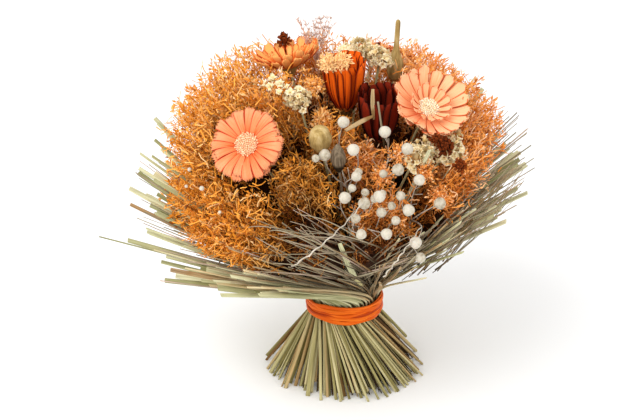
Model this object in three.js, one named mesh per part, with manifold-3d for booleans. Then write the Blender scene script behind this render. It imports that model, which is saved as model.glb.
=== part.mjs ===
// A hand-tied posy of dried flowers that stands on its own cut stems.
//
// Straw stems are laid in a spiral, squeezed at a waist by an orange raffia tie, and flare out both ways:
// below the tie as a skirt of legs, and above it as a wide shallow collar. Inside the collar, thinner stems
// carry a dome of dyed foliage, with peach and rust blooms, cream statice, white berries and two seed pods.
//
// Every stem has a lane: a point in the disc of the waist. The same lane leads down to its foot and up to its
// place on the dome, so that neighbours stay neighbours all the way and no two stems cross. The lanes are
// shared out in cells with a gap between them, and what grows on a stem stays inside its own cell.
//
// Millimetres, +Z up. The origin is the cut end of the middle stem, on the surface that the posy stands on.

import * as THREE from "three";
import { mergeVertices } from "three/addons/utils/BufferGeometryUtils.js";
import Module from "manifold-3d";

const wasm = await Module();
wasm.setup();

const { cos, sin, sqrt, hypot, atan2, PI } = Math;
const { lerp, degToRad: radians } = THREE.MathUtils;

// Driving dimensions
const WAIST_LOW = 47; // height of the tie's lower edge
const WAIST_HIGH = 63.5; // height of the tie's upper edge
const WAIST_RADIUS = 27; // the squeezed bundle
const HEART_RADIUS = 16.3; // flower stems inside this, straw outside it
const GAP = 0.3; // clearance between separate pieces
const LEG_SPREAD = 2.4; // how much wider the feet stand than the waist
const LEG_TWIST = radians(30); // the spiral, from the waist down
const CROWN_TWIST = radians(-70); // the spiral, from the waist up
const DOME_CENTRE = 150; // height of the dome's widest place
const DOME_RADIUS = 130;
const DOME_RISE = 108; // from the widest place to the top
const LEAN_AT_WAIST_EDGE = radians(92); // lean of a dome lane that leaves from the waist's edge
const DROOP_TOWARDS = radians(178); // the side where dome and collar hang lowest
const DOME_DROOP = 0.24; // share by which the outermost lanes lean more there, and less opposite
const COLLAR_DROOP = 8; // degrees, the same for the straw collar

const COLOURS = {
  straw: { color: 0xb3a877, roughness: 0.75 },
  raffia: { color: 0xe85a0c, roughness: 0.6 },
  goldenFoliage: { color: 0xdb8730, roughness: 0.85 },
  salmonFoliage: { color: 0xe07a3c, roughness: 0.85 },
  peachPetal: { color: 0xffb081, roughness: 0.7 },
  rustPetal: { color: 0xb8450a, roughness: 0.6 },
  creamFloret: { color: 0xf0dca8, roughness: 0.85 },
  berry: { color: 0xe9e4d8, roughness: 0.55 },
  pod: { color: 0xb0935a, roughness: 0.8 },
};

const GOLDEN_ANGLE = PI * (3 - sqrt(5));
const vec = (x, y, z) => new THREE.Vector3(x, y, z);
const polar = (radius, angle, z = 0) => vec(radius * cos(angle), radius * sin(angle), z);
const leaning = (azimuth, lean) => polar(sin(lean), azimuth, cos(lean));

// A fixed number from 0 to 1 for item i of draw k, so that each build gives the same posy.
const chance = (i, k) => {
  const x = sin(i * 12.9898 + k * 78.233) * 43758.5453;
  return x - Math.floor(x);
};
const jitter = (i, k, amount) => (chance(i, k) * 2 - 1) * amount;

// Solids

// A closed skin over rings with the same number of points; the first or last may be one point, a tip.
function loft(rings) {
  const sides = Math.max(...rings.map((ring) => ring.length));
  const points = [];
  const starts = rings.map((ring) => points.push(...ring) - ring.length);
  const at = (r, s) => starts[r] + (rings[r].length > 1 ? s % sides : 0);
  const faces = [];
  for (let r = 0; r + 1 < rings.length; r++)
    for (let s = 0; s < sides; s++) {
      if (rings[r].length > 1) faces.push(at(r, s), at(r, s + 1), at(r + 1, s + 1));
      if (rings[r + 1].length > 1) faces.push(at(r, s), at(r + 1, s + 1), at(r + 1, s));
    }
  const last = rings.length - 1;
  for (let s = 1; s + 1 < rings[0].length; s++) faces.push(at(0, 0), at(0, s + 1), at(0, s));
  for (let s = 1; s + 1 < rings[last].length; s++) faces.push(at(last, 0), at(last, s), at(last, s + 1));
  return new THREE.BufferGeometry().setFromPoints(points).setIndex(faces);
}

// A round shape from a profile of [radius, height] pairs that runs upwards.
function turned(profile, sides) {
  const points = profile.map(([radius, height]) => new THREE.Vector2(radius, height));
  return new THREE.LatheGeometry(points, sides).rotateX(PI / 2);
}

// Turns a shape's own upright axis to an outward one, and moves it to its place.
function placed(geometry, centre, axis) {
  geometry.applyQuaternion(new THREE.Quaternion().setFromUnitVectors(vec(0, 0, 1), axis));
  return geometry.translate(centre.x, centre.y, centre.z);
}

// A geometry as a manifold-3d solid, for joining and cutting.
function solid(geometry) {
  const bare = geometry.index ? geometry.toNonIndexed() : geometry.clone();
  bare.deleteAttribute("normal");
  bare.deleteAttribute("uv");
  const merged = mergeVertices(bare, 1e-4);
  const { array } = merged.attributes.position;
  const triVerts = new Uint32Array(merged.index.array);
  const made = new wasm.Manifold(new wasm.Mesh({ numProp: 3, vertProperties: array, triVerts }));
  if (made.volume() <= 0) throw new Error("inside out");
  return made;
}

const joined = (geometries) => wasm.Manifold.union(geometries.map(solid));

const posy = new THREE.Group();
const FINEST = 0.12; // slivers and steps below this are dropped from a joined piece

// Adds one named piece to the posy, as the largest body of a solid.
function addPiece(name, finish, whole) {
  const [body] = whole.simplify(FINEST).decompose().sort((a, b) => b.volume() - a.volume());
  const { numProp, vertProperties, triVerts } = body.getMesh();
  const count = vertProperties.length / numProp;
  const vertex = (i) => vec(...vertProperties.subarray(i * numProp, i * numProp + 3));
  const points = Array.from({ length: count }, (_, i) => vertex(i));
  const geometry = new THREE.BufferGeometry().setFromPoints(points).setIndex([...triVerts]);
  const material = new THREE.MeshStandardMaterial({ ...COLOURS[finish], metalness: 0 });
  const mesh = new THREE.Mesh(geometry, material);
  mesh.name = name;
  posy.add(mesh);
}

// Lanes

const turnedBy = (lane, angle) => polar(hypot(lane.x, lane.y), atan2(lane.y, lane.x) + angle);

// The place of a lane at a height below the waist: straight from the waist to the floor.
function legPoint(lane, z, reach = LEG_SPREAD) {
  const foot = turnedBy(lane, LEG_TWIST).multiplyScalar(reach);
  const down = (WAIST_LOW - z) / WAIST_LOW;
  return vec(lerp(lane.x, foot.x, down), lerp(lane.y, foot.y, down), z);
}

// The point where a ray from the middle of the waist, leaning towards an azimuth, meets the dome, or at a
// share of the way there.
function domePoint(azimuth, lean, share = 1) {
  const below = (WAIST_HIGH - DOME_CENTRE) / DOME_RISE;
  const a = (sin(lean) / DOME_RADIUS) ** 2 + (cos(lean) / DOME_RISE) ** 2;
  const b = (2 * cos(lean) * below) / DOME_RISE;
  const length = ((-b + sqrt(b * b - 4 * a * (below * below - 1))) / (2 * a)) * share;
  return leaning(azimuth, lean).multiplyScalar(length).setZ(WAIST_HIGH + length * cos(lean));
}

// How much more than usual a lane leans, from how far out it is and where it goes.
const droopOf = (share, azimuth) => 1 + DOME_DROOP * share * cos(azimuth - DROOP_TOWARDS);

// The lane that leads to a place on the dome, given in degrees of azimuth and of lean.
function laneTo(azimuth, lean) {
  const usual = radians(lean) / LEAN_AT_WAIST_EDGE;
  let share = usual;
  for (let i = 0; i < 6; i++) share = usual / droopOf(share, radians(azimuth));
  return polar(share * WAIST_RADIUS, radians(azimuth) - CROWN_TWIST);
}

// A stem's way from the waist to its end: upright out of the tie, then a bend and a nearly straight run.
function crownCurve(lane, end) {
  const out = hypot(lane.x, lane.y) / HEART_RADIUS;
  const rise = 6 + 24 * Math.max(0, 1 - out);
  const start = vec(lane.x, lane.y, WAIST_HIGH - 3);
  const bend = vec(lane.x * 1.05, lane.y * 1.05, WAIST_HIGH + rise);
  return new THREE.CubicBezierCurve3(start, bend, bend.clone().lerp(end, 0.3), end);
}

// The point at a share of the way up a lane; share 1 is on the dome.
function crownPoint(lane, share) {
  const out = hypot(lane.x, lane.y) / WAIST_RADIUS;
  const azimuth = atan2(lane.y, lane.x) + CROWN_TWIST;
  const lean = out * LEAN_AT_WAIST_EDGE * droopOf(out, azimuth);
  if (share > 1) return domePoint(azimuth, lean, share);
  return crownCurve(lane, domePoint(azimuth, lean)).getPoint(share);
}

// The flowers' and sprays' places on the dome: azimuth and lean in degrees, and room, the radius of the cell
// that each takes at the waist. A spray's top is the share of its lane where it ends, 1 unless stated. The
// front and the left follow the bouquet in the picture; the back is filled in the same rhythm.
const PLACES = {
  button_flower: { azimuth: 0, lean: 0, room: 1.4 },
  peach_bloom_left: { azimuth: -133, lean: 34, room: 2.6 },
  peach_bloom_right: { azimuth: -40, lean: 24, room: 2.6 },
  peach_bloom_top: { azimuth: 165, lean: 13.5, room: 2.2 },
  peach_bloom_rear: { azimuth: 72, lean: 33, room: 2.4 },
  rust_bloom_front: { azimuth: -94, lean: 8.5, room: 1.5 },
  rust_bloom_deep: { azimuth: -60, lean: 17.5, room: 1.5 },
  rust_bloom_rear: { azimuth: 122, lean: 38, room: 2 },
  statice_top: { azimuth: 4, lean: 7.5, room: 1.2 },
  statice_left: { azimuth: -128, lean: 18, room: 1.2 },
  statice_right: { azimuth: -60, lean: 33, room: 1.2 },
  statice_far_right: { azimuth: -43, lean: 34, room: 1.2 },
  statice_back: { azimuth: 75, lean: 13, room: 1.2 },
  berry_sprig_high: { azimuth: -92, lean: 31, room: 1.1 },
  berry_sprig_middle: { azimuth: -91, lean: 42, room: 1.1 },
  berry_sprig_side: { azimuth: -74, lean: 32, room: 1.1 },
  berry_sprig_low: { azimuth: -60, lean: 43, room: 1.1 },
  pod_front: { azimuth: -104, lean: 27, room: 1.3 },
  pod_top: { azimuth: 25, lean: 13, room: 1.2 },
  golden_spray_1: { azimuth: -170, lean: 55.5, room: 2.6 },
  golden_spray_2: { azimuth: -148, lean: 56.5, room: 2.4 },
  golden_spray_3: { azimuth: -128, lean: 54, room: 2.4 },
  golden_spray_4: { azimuth: -109, lean: 46, room: 2.5 },
  golden_spray_5: { azimuth: -165, lean: 34, room: 2.6, top: 1.08 },
  golden_spray_6: { azimuth: 172, lean: 54, room: 2.6 },
  golden_spray_7: { azimuth: 152, lean: 35, room: 2.4, top: 1.08 },
  golden_spray_8: { azimuth: 148, lean: 54, room: 2.3 },
  golden_spray_9: { azimuth: -150, lean: 20, room: 1.6, top: 1.03 },
  golden_spray_10: { azimuth: -108, lean: 18, room: 1.3, top: 0.88 },
  golden_spray_11: { azimuth: -114, lean: 36.5, room: 1.3, top: 0.97 },
  salmon_spray_1: { azimuth: -38, lean: 41, room: 2.4 },
  salmon_spray_2: { azimuth: -12, lean: 36, room: 2.8 },
  salmon_spray_3: { azimuth: 6, lean: 21, room: 2.4 },
  salmon_spray_4: { azimuth: 19, lean: 36, room: 2.7 },
  salmon_spray_5: { azimuth: 50, lean: 39, room: 2.6 },
  salmon_spray_6: { azimuth: 84, lean: 47, room: 2.5 },
  salmon_spray_7: { azimuth: 44, lean: 21, room: 2.3 },
  salmon_spray_8: { azimuth: 112, lean: 22, room: 2.3 },
  salmon_spray_9: { azimuth: -78, lean: 46, room: 2.6, top: 0.88 },
  salmon_spray_10: { azimuth: -79, lean: 24, room: 1.3, top: 0.82 },
};
const MOST_ROOM = 4.2; // no cell reaches further than this from its lane,
const MOST_FOR_ROOM = 1.6; // nor than this many times its own room
for (const place of Object.values(PLACES)) place.lane = laneTo(place.azimuth, place.lean);

// Keeps the part of a convex outline whose distance along a direction is at most the limit.
function clipped(outline, direction, limit) {
  return outline.flatMap((p, i) => {
    const q = outline[(i + 1) % outline.length];
    const [a, b] = [p.dot(direction) - limit, q.dot(direction) - limit];
    const crossing = a < 0 !== b < 0 ? [p.clone().lerp(q, a / (a - b))] : [];
    return a < 0 ? [p, ...crossing] : crossing;
  });
}

// The cell of a place at the waist: what is nearer to its lane than to its neighbours', weighed by room.
function cellOf(name) {
  const { lane, room } = PLACES[name];
  let cell = Array.from({ length: 24 }, (_, i) => polar(HEART_RADIUS - GAP / 2, (i / 24) * 2 * PI));
  for (let i = 0; i < 8; i++) {
    const direction = polar(1, (i * PI) / 4);
    cell = clipped(cell, direction, direction.dot(lane) + Math.min(MOST_ROOM, room * MOST_FOR_ROOM));
  }
  for (const [other, place] of Object.entries(PLACES)) {
    if (other === name) continue;
    const apart = place.lane.clone().sub(lane);
    const distance = apart.length();
    const share = (distance ** 2 + room ** 2 - place.room ** 2) / (2 * distance);
    const direction = apart.normalize();
    cell = clipped(cell, direction, direction.dot(lane) + share - GAP / 2);
  }
  return cell;
}

// The point of a cell at an angle round its lane; size 1 is on the cell's edge.
function inCell(lane, cell, angle, size) {
  const direction = polar(1, angle);
  let reach = Infinity;
  cell.forEach((p, i) => {
    const edge = cell[(i + 1) % cell.length].clone().sub(p);
    const outward = vec(edge.y, -edge.x, 0).normalize();
    const slope = outward.dot(direction);
    if (slope > 1e-6) reach = Math.min(reach, outward.dot(p.clone().sub(lane)) / slope);
  });
  return lane.clone().addScaledVector(direction, reach * size);
}

// Stems

const STEM_SIDES = 5;
const STEM_RADIUS = 1.1;
const THIN_STEM_RADIUS = 0.9;
const around = (sides, point) => Array.from({ length: sides }, (_, i) => point((i / sides) * 2 * PI, i));
const hoop = (centre, radius, turn = 0) =>
  around(STEM_SIDES, (angle) => centre.clone().add(polar(radius, angle + turn)));

// The lower part of a flower's stem: cut foot, leg, and the waist, where it is squeezed to fill its cell.
function stemBase(name, radius) {
  const { lane } = PLACES[name];
  const cell = cellOf(name);
  const foot = hoop(legPoint(lane, 0), radius, LEG_TWIST);
  const squeezed = (z) => around(STEM_SIDES, (angle) => inCell(lane, cell, angle, 1).setZ(z));
  return [foot, squeezed(WAIST_LOW), squeezed(WAIST_HIGH - 1)];
}

// A whole stem from its foot to an end on the dome.
function stem(name, end, radius = STEM_RADIUS, footRadius = radius) {
  const curve = crownCurve(PLACES[name].lane, end);
  const crown = [0.22, 0.5, 1].map((share) => hoop(curve.getPoint(share), radius, CROWN_TWIST * share));
  return loft([...stemBase(name, footRadius), ...crown]);
}

// A flat section across a path that leans outwards: its width lies level.
function flatSection(point, along, width, depth) {
  const level = vec(-along.y, along.x, 0).normalize();
  const upper = along.clone().cross(level).normalize();
  const corners = [[1, -1], [1, 1], [-1, 1], [-1, -1]];
  return corners.map(([l, u]) =>
    point.clone().addScaledVector(level, (l * width) / 2).addScaledVector(upper, (u * depth) / 2),
  );
}

// Straw: eight sheaves round the heart, each squeezed into one block of the waist.

const SHEAVES = 8;
const STRAW_ROWS = [
  { radius: 19.1, lean: 58, count: 3, width: 3.4 },
  { radius: 22.2, lean: 61, count: 2, width: 4 },
  { radius: 25.1, lean: 64.5, count: 2, width: 4.8 },
];
const STRAWS_IN_SHEAF = STRAW_ROWS.reduce((sum, row) => sum + row.count, 0);
const STRAW_DEPTH = 1.8;
const STRAW_LENGTH = [146, 178]; // from the waist to the tip, shortest and longest
const ROOT_DEPTH = 0.4; // how far the squeezed block stands out of the tie, and the straws reach into it
const AWN = { length: 194, width: 1.6, depth: 1.2 }; // the few long thin ones

function sheafBlock(from, to) {
  const outline = new THREE.Shape();
  const [inner, outer] = [HEART_RADIUS + GAP, WAIST_RADIUS - GAP];
  outline.absarc(0, 0, outer, from + GAP / 2 / outer, to - GAP / 2 / outer, false);
  outline.absarc(0, 0, inner, to - GAP / 2 / inner, from + GAP / 2 / inner, true);
  const depth = WAIST_HIGH - WAIST_LOW + 2 * ROOT_DEPTH;
  const block = new THREE.ExtrudeGeometry(outline, { depth, bevelEnabled: false, curveSegments: 3 });
  return block.translate(0, 0, WAIST_LOW - ROOT_DEPTH);
}

// One straw: from its foot, through the waist, to its tip in the collar.
function straw(i, row, angle) {
  const lane = polar(row.radius, angle);
  const azimuth = angle + CROWN_TWIST + radians(jitter(i, 1, 1.5));
  const lean = radians(row.lean + COLLAR_DROOP * cos(azimuth - DROOP_TOWARDS) + jitter(i, 2, 2));
  const isAwn = i % 19 === 3;
  const length = isAwn ? AWN.length : lerp(...STRAW_LENGTH, chance(i, 3));
  const tip = leaning(azimuth, lean).multiplyScalar(length).add(vec(0, 0, WAIST_HIGH));
  const width = isAwn ? AWN.width : row.width * lerp(0.8, 1.1, chance(i, 4));
  const depth = isAwn ? AWN.depth : STRAW_DEPTH;
  const curve = crownCurve(lane, tip);
  const blade = [0.25, 1].map((share) =>
    flatSection(
      curve.getPoint(share),
      curve.getTangent(share),
      width * lerp(0.4, 1, share),
      depth * lerp(0.7, 1, share),
    ),
  );
  const raised = row.radius > 24 && chance(i, 5) > 0.7 ? lerp(3, 8, chance(i, 6)) : 0;
  const reach = LEG_SPREAD * (1 + jitter(i, 7, 0.03));
  const square = (centre, side, turn) =>
    [1, 3, 5, 7].map((eighth) => centre.clone().add(polar(side / sqrt(2), angle + turn + (eighth * PI) / 4)));
  return loft([
    square(legPoint(lane, raised, reach), lerp(2.6, 3.4, chance(i, 8)), LEG_TWIST),
    square(lane.clone().setZ(WAIST_LOW), 2, 0),
    square(lane.clone().setZ(WAIST_HIGH), 1.6, CROWN_TWIST / 2),
    ...blade,
  ]);
}

for (let s = 0; s < SHEAVES; s++) {
  const [from, to] = [(s / SHEAVES) * 2 * PI, ((s + 1) / SHEAVES) * 2 * PI];
  let i = s * STRAWS_IN_SHEAF;
  const straws = STRAW_ROWS.flatMap((row) =>
    Array.from({ length: row.count }, (_, k) => straw(i++, row, lerp(from, to, (k + 0.5) / row.count))),
  );
  addPiece(`straw_sheaf_${s + 1}`, "straw", joined([sheafBlock(from, to), ...straws]));
}

// Raffia tie: turns laid side by side round the waist, knotted at the back, with two short ends.

const RAFFIA_TURNS = 3;
const RAFFIA_THICKNESS = 3;
const BAND_SIDES = 18;
const KNOT_AZIMUTH = radians(100);

function raffiaBand() {
  const inner = WAIST_RADIUS + GAP;
  const crests = Array.from({ length: RAFFIA_TURNS * 2 + 1 }, (_, i) => {
    const thickness = i % 2 ? RAFFIA_THICKNESS : RAFFIA_THICKNESS * 0.7;
    return [inner + thickness, lerp(WAIST_LOW, WAIST_HIGH, i / (RAFFIA_TURNS * 2))];
  });
  return turned([[inner, WAIST_HIGH], [inner, WAIST_LOW], ...crests, [inner, WAIST_HIGH]], BAND_SIDES);
}

function raffiaKnot() {
  const middle = (WAIST_LOW + WAIST_HIGH) / 2;
  const out = WAIST_RADIUS + RAFFIA_THICKNESS;
  const knot = new THREE.IcosahedronGeometry(1, 0).scale(4, 6, 5).rotateZ(KNOT_AZIMUTH);
  const centre = polar(out + 1.6, KNOT_AZIMUTH, middle);
  knot.translate(centre.x, centre.y, centre.z);
  const ends = [-1, 1].map((side) => {
    const path = [0, 10, 17].map((run, i) =>
      polar(out + 1 + i, KNOT_AZIMUTH + (side * run) / out, middle - i * i * 2),
    );
    const along = path[2].clone().sub(path[0]).normalize();
    return loft(path.map((point) => flatSection(point, along, 1.4, 3)));
  });
  return [knot, ...ends];
}

addPiece("raffia_tie", "raffia", joined([raffiaBand(), ...raffiaKnot()]));

// Blooms: a base on a stem, two layers of strap petals round it, and a low dome of stamens.

const kept = []; // the room round each head, which foliage keeps out of
const ROOM_SIDES = 9;
const ROOM_UNDER = 2; // how far that room reaches below the petals
const ROOM_OVER = 5; // and above the petals' tips

const PETAL_MIDDLE = 0.6; // the widest place of a petal, from the disc's edge to the tip,
const MIDDLE_RISE = 0.42; // how much of the cup's height it has gained there,
const TIP_WIDTH = 0.6; // and the share of its width that is left at the tip
const ROOT_SINK = 1.4; // how far below the top of the base the petals' roots are sunk

// One petal: a point sunk in the base, a widest section and a narrower blunt tip, along a rising arc.
function petal(angle, form, layer) {
  const tangent = polar(1, angle + PI / 2);
  const section = (out, up, width) => {
    const drop = layer * (form.layerDrop + form.layerSpread * out);
    const centre = polar(out, angle, up - drop);
    const corners = [[1, -1], [1, 1], [-1, 1], [-1, -1]];
    return corners.map(([w, t]) =>
      centre.clone().addScaledVector(tangent, (w * width) / 2).add(vec(0, 0, (t * form.petalThickness) / 2)),
    );
  };
  const root = polar(form.disc * 0.5, angle, -ROOT_SINK - layer * form.layerDrop);
  const halfway = lerp(form.disc, form.radius, PETAL_MIDDLE);
  const middle = section(halfway, form.cup * MIDDLE_RISE, form.petalWidth);
  return loft([[root], middle, section(form.radius, form.cup, form.petalWidth * TIP_WIDTH)]);
}

function bloom(name, finish, form, facing, share) {
  const centre = crownPoint(PLACES[name].lane, share);
  const { disc, radius, cup, base } = form;
  const baseProfile = [[0, -base], [2, -base], [disc * 0.95, -1.2]];
  const profile = [...baseProfile, [disc * 0.85, 1], [disc * 0.4, 2.4], [0, 2.6]];
  const petals = [0, 1].flatMap((layer) =>
    around(form.petals, (angle) => petal(angle + (layer * PI) / form.petals, form, layer)),
  );
  const head = [turned(profile, 8), ...petals].map((shape) => placed(shape, centre, facing));
  const foot = centre.clone().addScaledVector(facing, 1 - base);
  const roomAt = (out, width) => hypot(out, width / 2) / cos(PI / ROOM_SIDES) + 2 * GAP;
  const under = (out, up) => up - form.layerDrop - form.layerSpread * out - ROOM_UNDER;
  const middle = lerp(disc, radius, PETAL_MIDDLE);
  const bowl = [
    [0, -base - 1],
    [3.5, -base - 1],
    [disc + 2, under(disc, -ROOT_SINK)],
    [roomAt(middle, form.petalWidth), under(middle, cup * MIDDLE_RISE)],
    [roomAt(radius, form.petalWidth), under(radius, cup)],
    [roomAt(radius, form.petalWidth), cup + ROOM_OVER],
    [0, cup + ROOM_OVER],
  ];
  kept.push(solid(placed(turned(bowl, ROOM_SIDES), centre, facing)));
  addPiece(name, finish, joined([...head, stem(name, foot, form.stem)]));
}

// Sizes of a head: radius at the petals' tips, the stamens' disc, how high the tips stand above it (cup), the
// base's depth, petals in each of two layers, and how far the lower layer drops at its root and with each
// millimetre outwards (spread).
const PEACH_FORM = {
  radius: 25.5, disc: 8, cup: 4, base: 10, stem: STEM_RADIUS,
  petals: 8, petalWidth: 10, petalThickness: 0.9, layerDrop: 1.8, layerSpread: 0.05,
};
const DEEP_PEACH_FORM = { ...PEACH_FORM, cup: 12 };
const RUST_FORM = {
  radius: 15, disc: 6, cup: 36, base: 10, stem: THIN_STEM_RADIUS,
  petals: 6, petalWidth: 9, petalThickness: 0.9, layerDrop: 2, layerSpread: 0.3,
};

bloom("peach_bloom_left", "peachPetal", PEACH_FORM, leaning(radians(-112), radians(52)), 1);
bloom("peach_bloom_right", "peachPetal", DEEP_PEACH_FORM, leaning(radians(-62), radians(38)), 0.98);
bloom("peach_bloom_top", "peachPetal", DEEP_PEACH_FORM, leaning(radians(150), radians(14)), 0.98);
bloom("peach_bloom_rear", "peachPetal", PEACH_FORM, leaning(radians(72), radians(36)), 1);
bloom("rust_bloom_front", "rustPetal", RUST_FORM, leaning(radians(-100), radians(6)), 0.905);
bloom("rust_bloom_deep", "rustPetal", RUST_FORM, leaning(radians(-85), radians(12)), 0.87);
bloom("rust_bloom_rear", "rustPetal", RUST_FORM, leaning(radians(122), radians(40)), 0.82);

// Statice: a tight head of papery funnels round a small core, on a thin stem.

const FUNNELS = 9;
const FUNNEL_MOUTH = 4.4;
const FUNNEL_ROOT = 0.3; // where the funnels begin, as a share of the head's radius,
const STATICE_CORE = 0.62; // the core's size,
const STATICE_ROOM = 1.45; // and the room that foliage leaves
const FUNNELS_TO = 1.4; // 2 would spread the funnels all round, 1 over the upper half

function statice(name, radius, share = 0.97) {
  const { lane, azimuth, lean } = PLACES[name];
  const centre = crownPoint(lane, share);
  const funnels = Array.from({ length: FUNNELS }, (_, i) => {
    const outward = leaning(i * GOLDEN_ANGLE, Math.acos(1 - (FUNNELS_TO * (i + 0.5)) / FUNNELS));
    const throat = outward.clone().multiplyScalar(radius * FUNNEL_ROOT);
    const mouth = flatSection(outward.clone().multiplyScalar(radius), outward, FUNNEL_MOUTH, FUNNEL_MOUTH);
    return loft([[throat], mouth]);
  });
  const head = [new THREE.IcosahedronGeometry(radius * STATICE_CORE, 0), ...funnels];
  const facing = leaning(radians(azimuth), radians(lean));
  head.forEach((shape) => placed(shape, centre, facing));
  const room = new THREE.IcosahedronGeometry(radius * STATICE_ROOM, 0);
  kept.push(solid(room.translate(centre.x, centre.y, centre.z)));
  addPiece(name, "creamFloret", joined([...head, stem(name, centre, THIN_STEM_RADIUS)]));
}

statice("statice_top", 8, 0.985);
statice("statice_left", 9);
statice("statice_right", 9);
statice("statice_far_right", 9);
statice("statice_back", 9);

// Button flower: a small round everlasting in the middle of the top, on the middle stem, which has a thick
// foot.

const BUTTON_RADIUS = 6;
const ROUND_ROOM = 1.35; // the room that foliage leaves round the button and round a berry, in radii
const MIDDLE_FOOT_RADIUS = 2;

const buttonPlace = crownPoint(PLACES.button_flower.lane, 1);
const button = new THREE.IcosahedronGeometry(BUTTON_RADIUS, 1).scale(1, 1, 0.7);
button.translate(buttonPlace.x, buttonPlace.y, buttonPlace.z);
kept.push(solid(new THREE.IcosahedronGeometry(BUTTON_RADIUS * ROUND_ROOM, 0).translate(0, 0, buttonPlace.z)));
const buttonStem = stem("button_flower", buttonPlace, THIN_STEM_RADIUS, MIDDLE_FOOT_RADIUS);
addPiece("button_flower", "creamFloret", joined([button, buttonStem]));

// Berries: a forked twig with a round berry at the end of each fork.

const BERRY_RADIUS = 4.2;
const FORK_SHARE = 0.84;

// Where each sprig's berries sit: azimuth and lean in degrees, and how far out along the ray to the dome.
const BERRIES = {
  berry_sprig_high: [[-92, 26, 1.02], [-99, 33, 1], [-88, 33, 1.04], [-87, 37.5, 1]],
  berry_sprig_side: [[-67, 33.5, 1.03], [-73, 38, 1.05], [-73, 28, 1]],
  berry_sprig_middle: [[-91, 42, 1], [-85, 44, 1.04], [-79.5, 42, 1], [-86, 50, 1.02], [-78, 50, 1]],
  berry_sprig_low: [
    [-71, 46, 1.03], [-60.5, 46, 1.04], [-69.5, 53, 1.03], [-68, 56.5, 1.03], [-66, 40.5, 1.04],
  ],
};

for (const [name, berries] of Object.entries(BERRIES)) {
  const fork = crownPoint(PLACES[name].lane, FORK_SHARE);
  const sprig = berries.flatMap(([azimuth, lean, share], i) => {
    const end = domePoint(radians(azimuth), radians(lean), share);
    const along = end.clone().sub(fork).normalize();
    const twig = loft([[fork.clone().addScaledVector(along, -0.6)], flatSection(end, along, 1.5, 1.3)]);
    const radius = BERRY_RADIUS * lerp(0.85, 1.05, chance(i, 21));
    const berry = new THREE.IcosahedronGeometry(radius, 0).translate(end.x, end.y, end.z);
    const room = new THREE.IcosahedronGeometry(radius * ROUND_ROOM, 0).translate(end.x, end.y, end.z);
    const twigRoom = loft([flatSection(fork, along, 2.4, 2.4), flatSection(end, along, 2.6, 2.6)]);
    kept.push(solid(room), solid(twigRoom));
    return [twig, berry];
  });
  addPiece(name, "berry", joined([...sprig, stem(name, fork)]));
}

// Seed pods: a rounded one at the front, and one on top that still has the stalk it was cut with. The
// profiles are [radius, height] pairs; the room that foliage leaves is that of the larger pod with a stalk.

const POD_ROOM = [[0, -14], [9.5, -10], [9.5, 10], [3.5, 14], [3.5, 44], [0, 44]];
const FRONT_POD = [[0, -12], [4, -10], [7.6, -3], [8, 3], [6, 9], [3.6, 11], [0, 11.5]];
const TOP_POD = [[0, -11], [4, -9], [6.2, -3], [6, 4], [3.2, 11], [1.9, 16], [1.8, 37], [0, 37]];
const POD_FOOT = 9; // how far below a pod's middle its stem ends

function pod(name, share, facing, profile) {
  const centre = crownPoint(PLACES[name].lane, share);
  const shape = placed(turned(profile, 8), centre, facing);
  kept.push(solid(placed(turned(POD_ROOM, 6), centre, facing)));
  addPiece(name, "pod", joined([shape, stem(name, centre.clone().addScaledVector(facing, -POD_FOOT))]));
}

pod("pod_front", 0.965, leaning(radians(-100), radians(24)), FRONT_POD);
pod("pod_top", 0.96, leaning(radians(10), radians(3)), TOP_POD);

// Foliage: each spray is a bush of leaflets that stand out of a smaller core, inside its own cell of the
// dome.

const LEAFLETS_FOR_ROOM = 6.2;
const LEAFLET_WIDTH = 7;
const LEAFLET_DEPTH = 1.3;
const CORE_LEVELS = [
  { share: 0.3, size: 0.16 },
  { share: 0.56, size: 0.26 },
  { share: 0.76, size: 0.74 },
  { share: 0.86, size: 0.78 },
  { share: 0.92, size: 0.36 },
];

function spray(name, number) {
  const { lane, room, top = 1 } = PLACES[name];
  const cell = cellOf(name);
  const count = Math.round(room * LEAFLETS_FOR_ROOM);
  const core = CORE_LEVELS.map(({ share, size }, level) =>
    around(STEM_SIDES, (angle, i) => {
      const uneven = 1 + jitter(i + level * STEM_SIDES, number, 0.12);
      return crownPoint(inCell(lane, cell, angle, size * uneven), share * top);
    }),
  );
  const leaflets = Array.from({ length: count }, (_, i) => {
    const angle = i * GOLDEN_ANGLE + number;
    const size = sqrt((i + 0.5) / count);
    const root = crownPoint(inCell(lane, cell, angle, size * 0.55), lerp(0.88, 0.76, size * size) * top);
    const tipLane = inCell(lane, cell, angle + jitter(i, number + 30, 0.3), size * 0.96);
    const tip = crownPoint(tipLane, (lerp(1.02, 0.94, size * size) + jitter(i, number + 60, 0.05)) * top);
    const along = tip.clone().sub(root).normalize();
    const blade = flatSection(root.clone().lerp(tip, 0.55), along, LEAFLET_WIDTH, LEAFLET_DEPTH);
    return loft([[root], [blade[0], blade[1].lerp(blade[2], 0.5), blade[3]], [tip]]);
  });
  const finish = name.startsWith("golden") ? "goldenFoliage" : "salmonFoliage";
  const bush = joined([loft([...stemBase(name, STEM_RADIUS), ...core]), ...leaflets]);
  addPiece(name, finish, kept.reduce((rest, room) => rest.subtract(room), bush));
}

const SPRAYS = Object.keys(PLACES).filter((name) => name.includes("spray"));
SPRAYS.forEach((name, i) => spray(name, i + 1));

export default posy;
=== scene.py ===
"""A hand-tied posy of dried flowers that stands on its own cut stems: the looks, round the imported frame.

Metres, +Z up. The origin is the cut end of the middle stem, on the table.
"""

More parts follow.
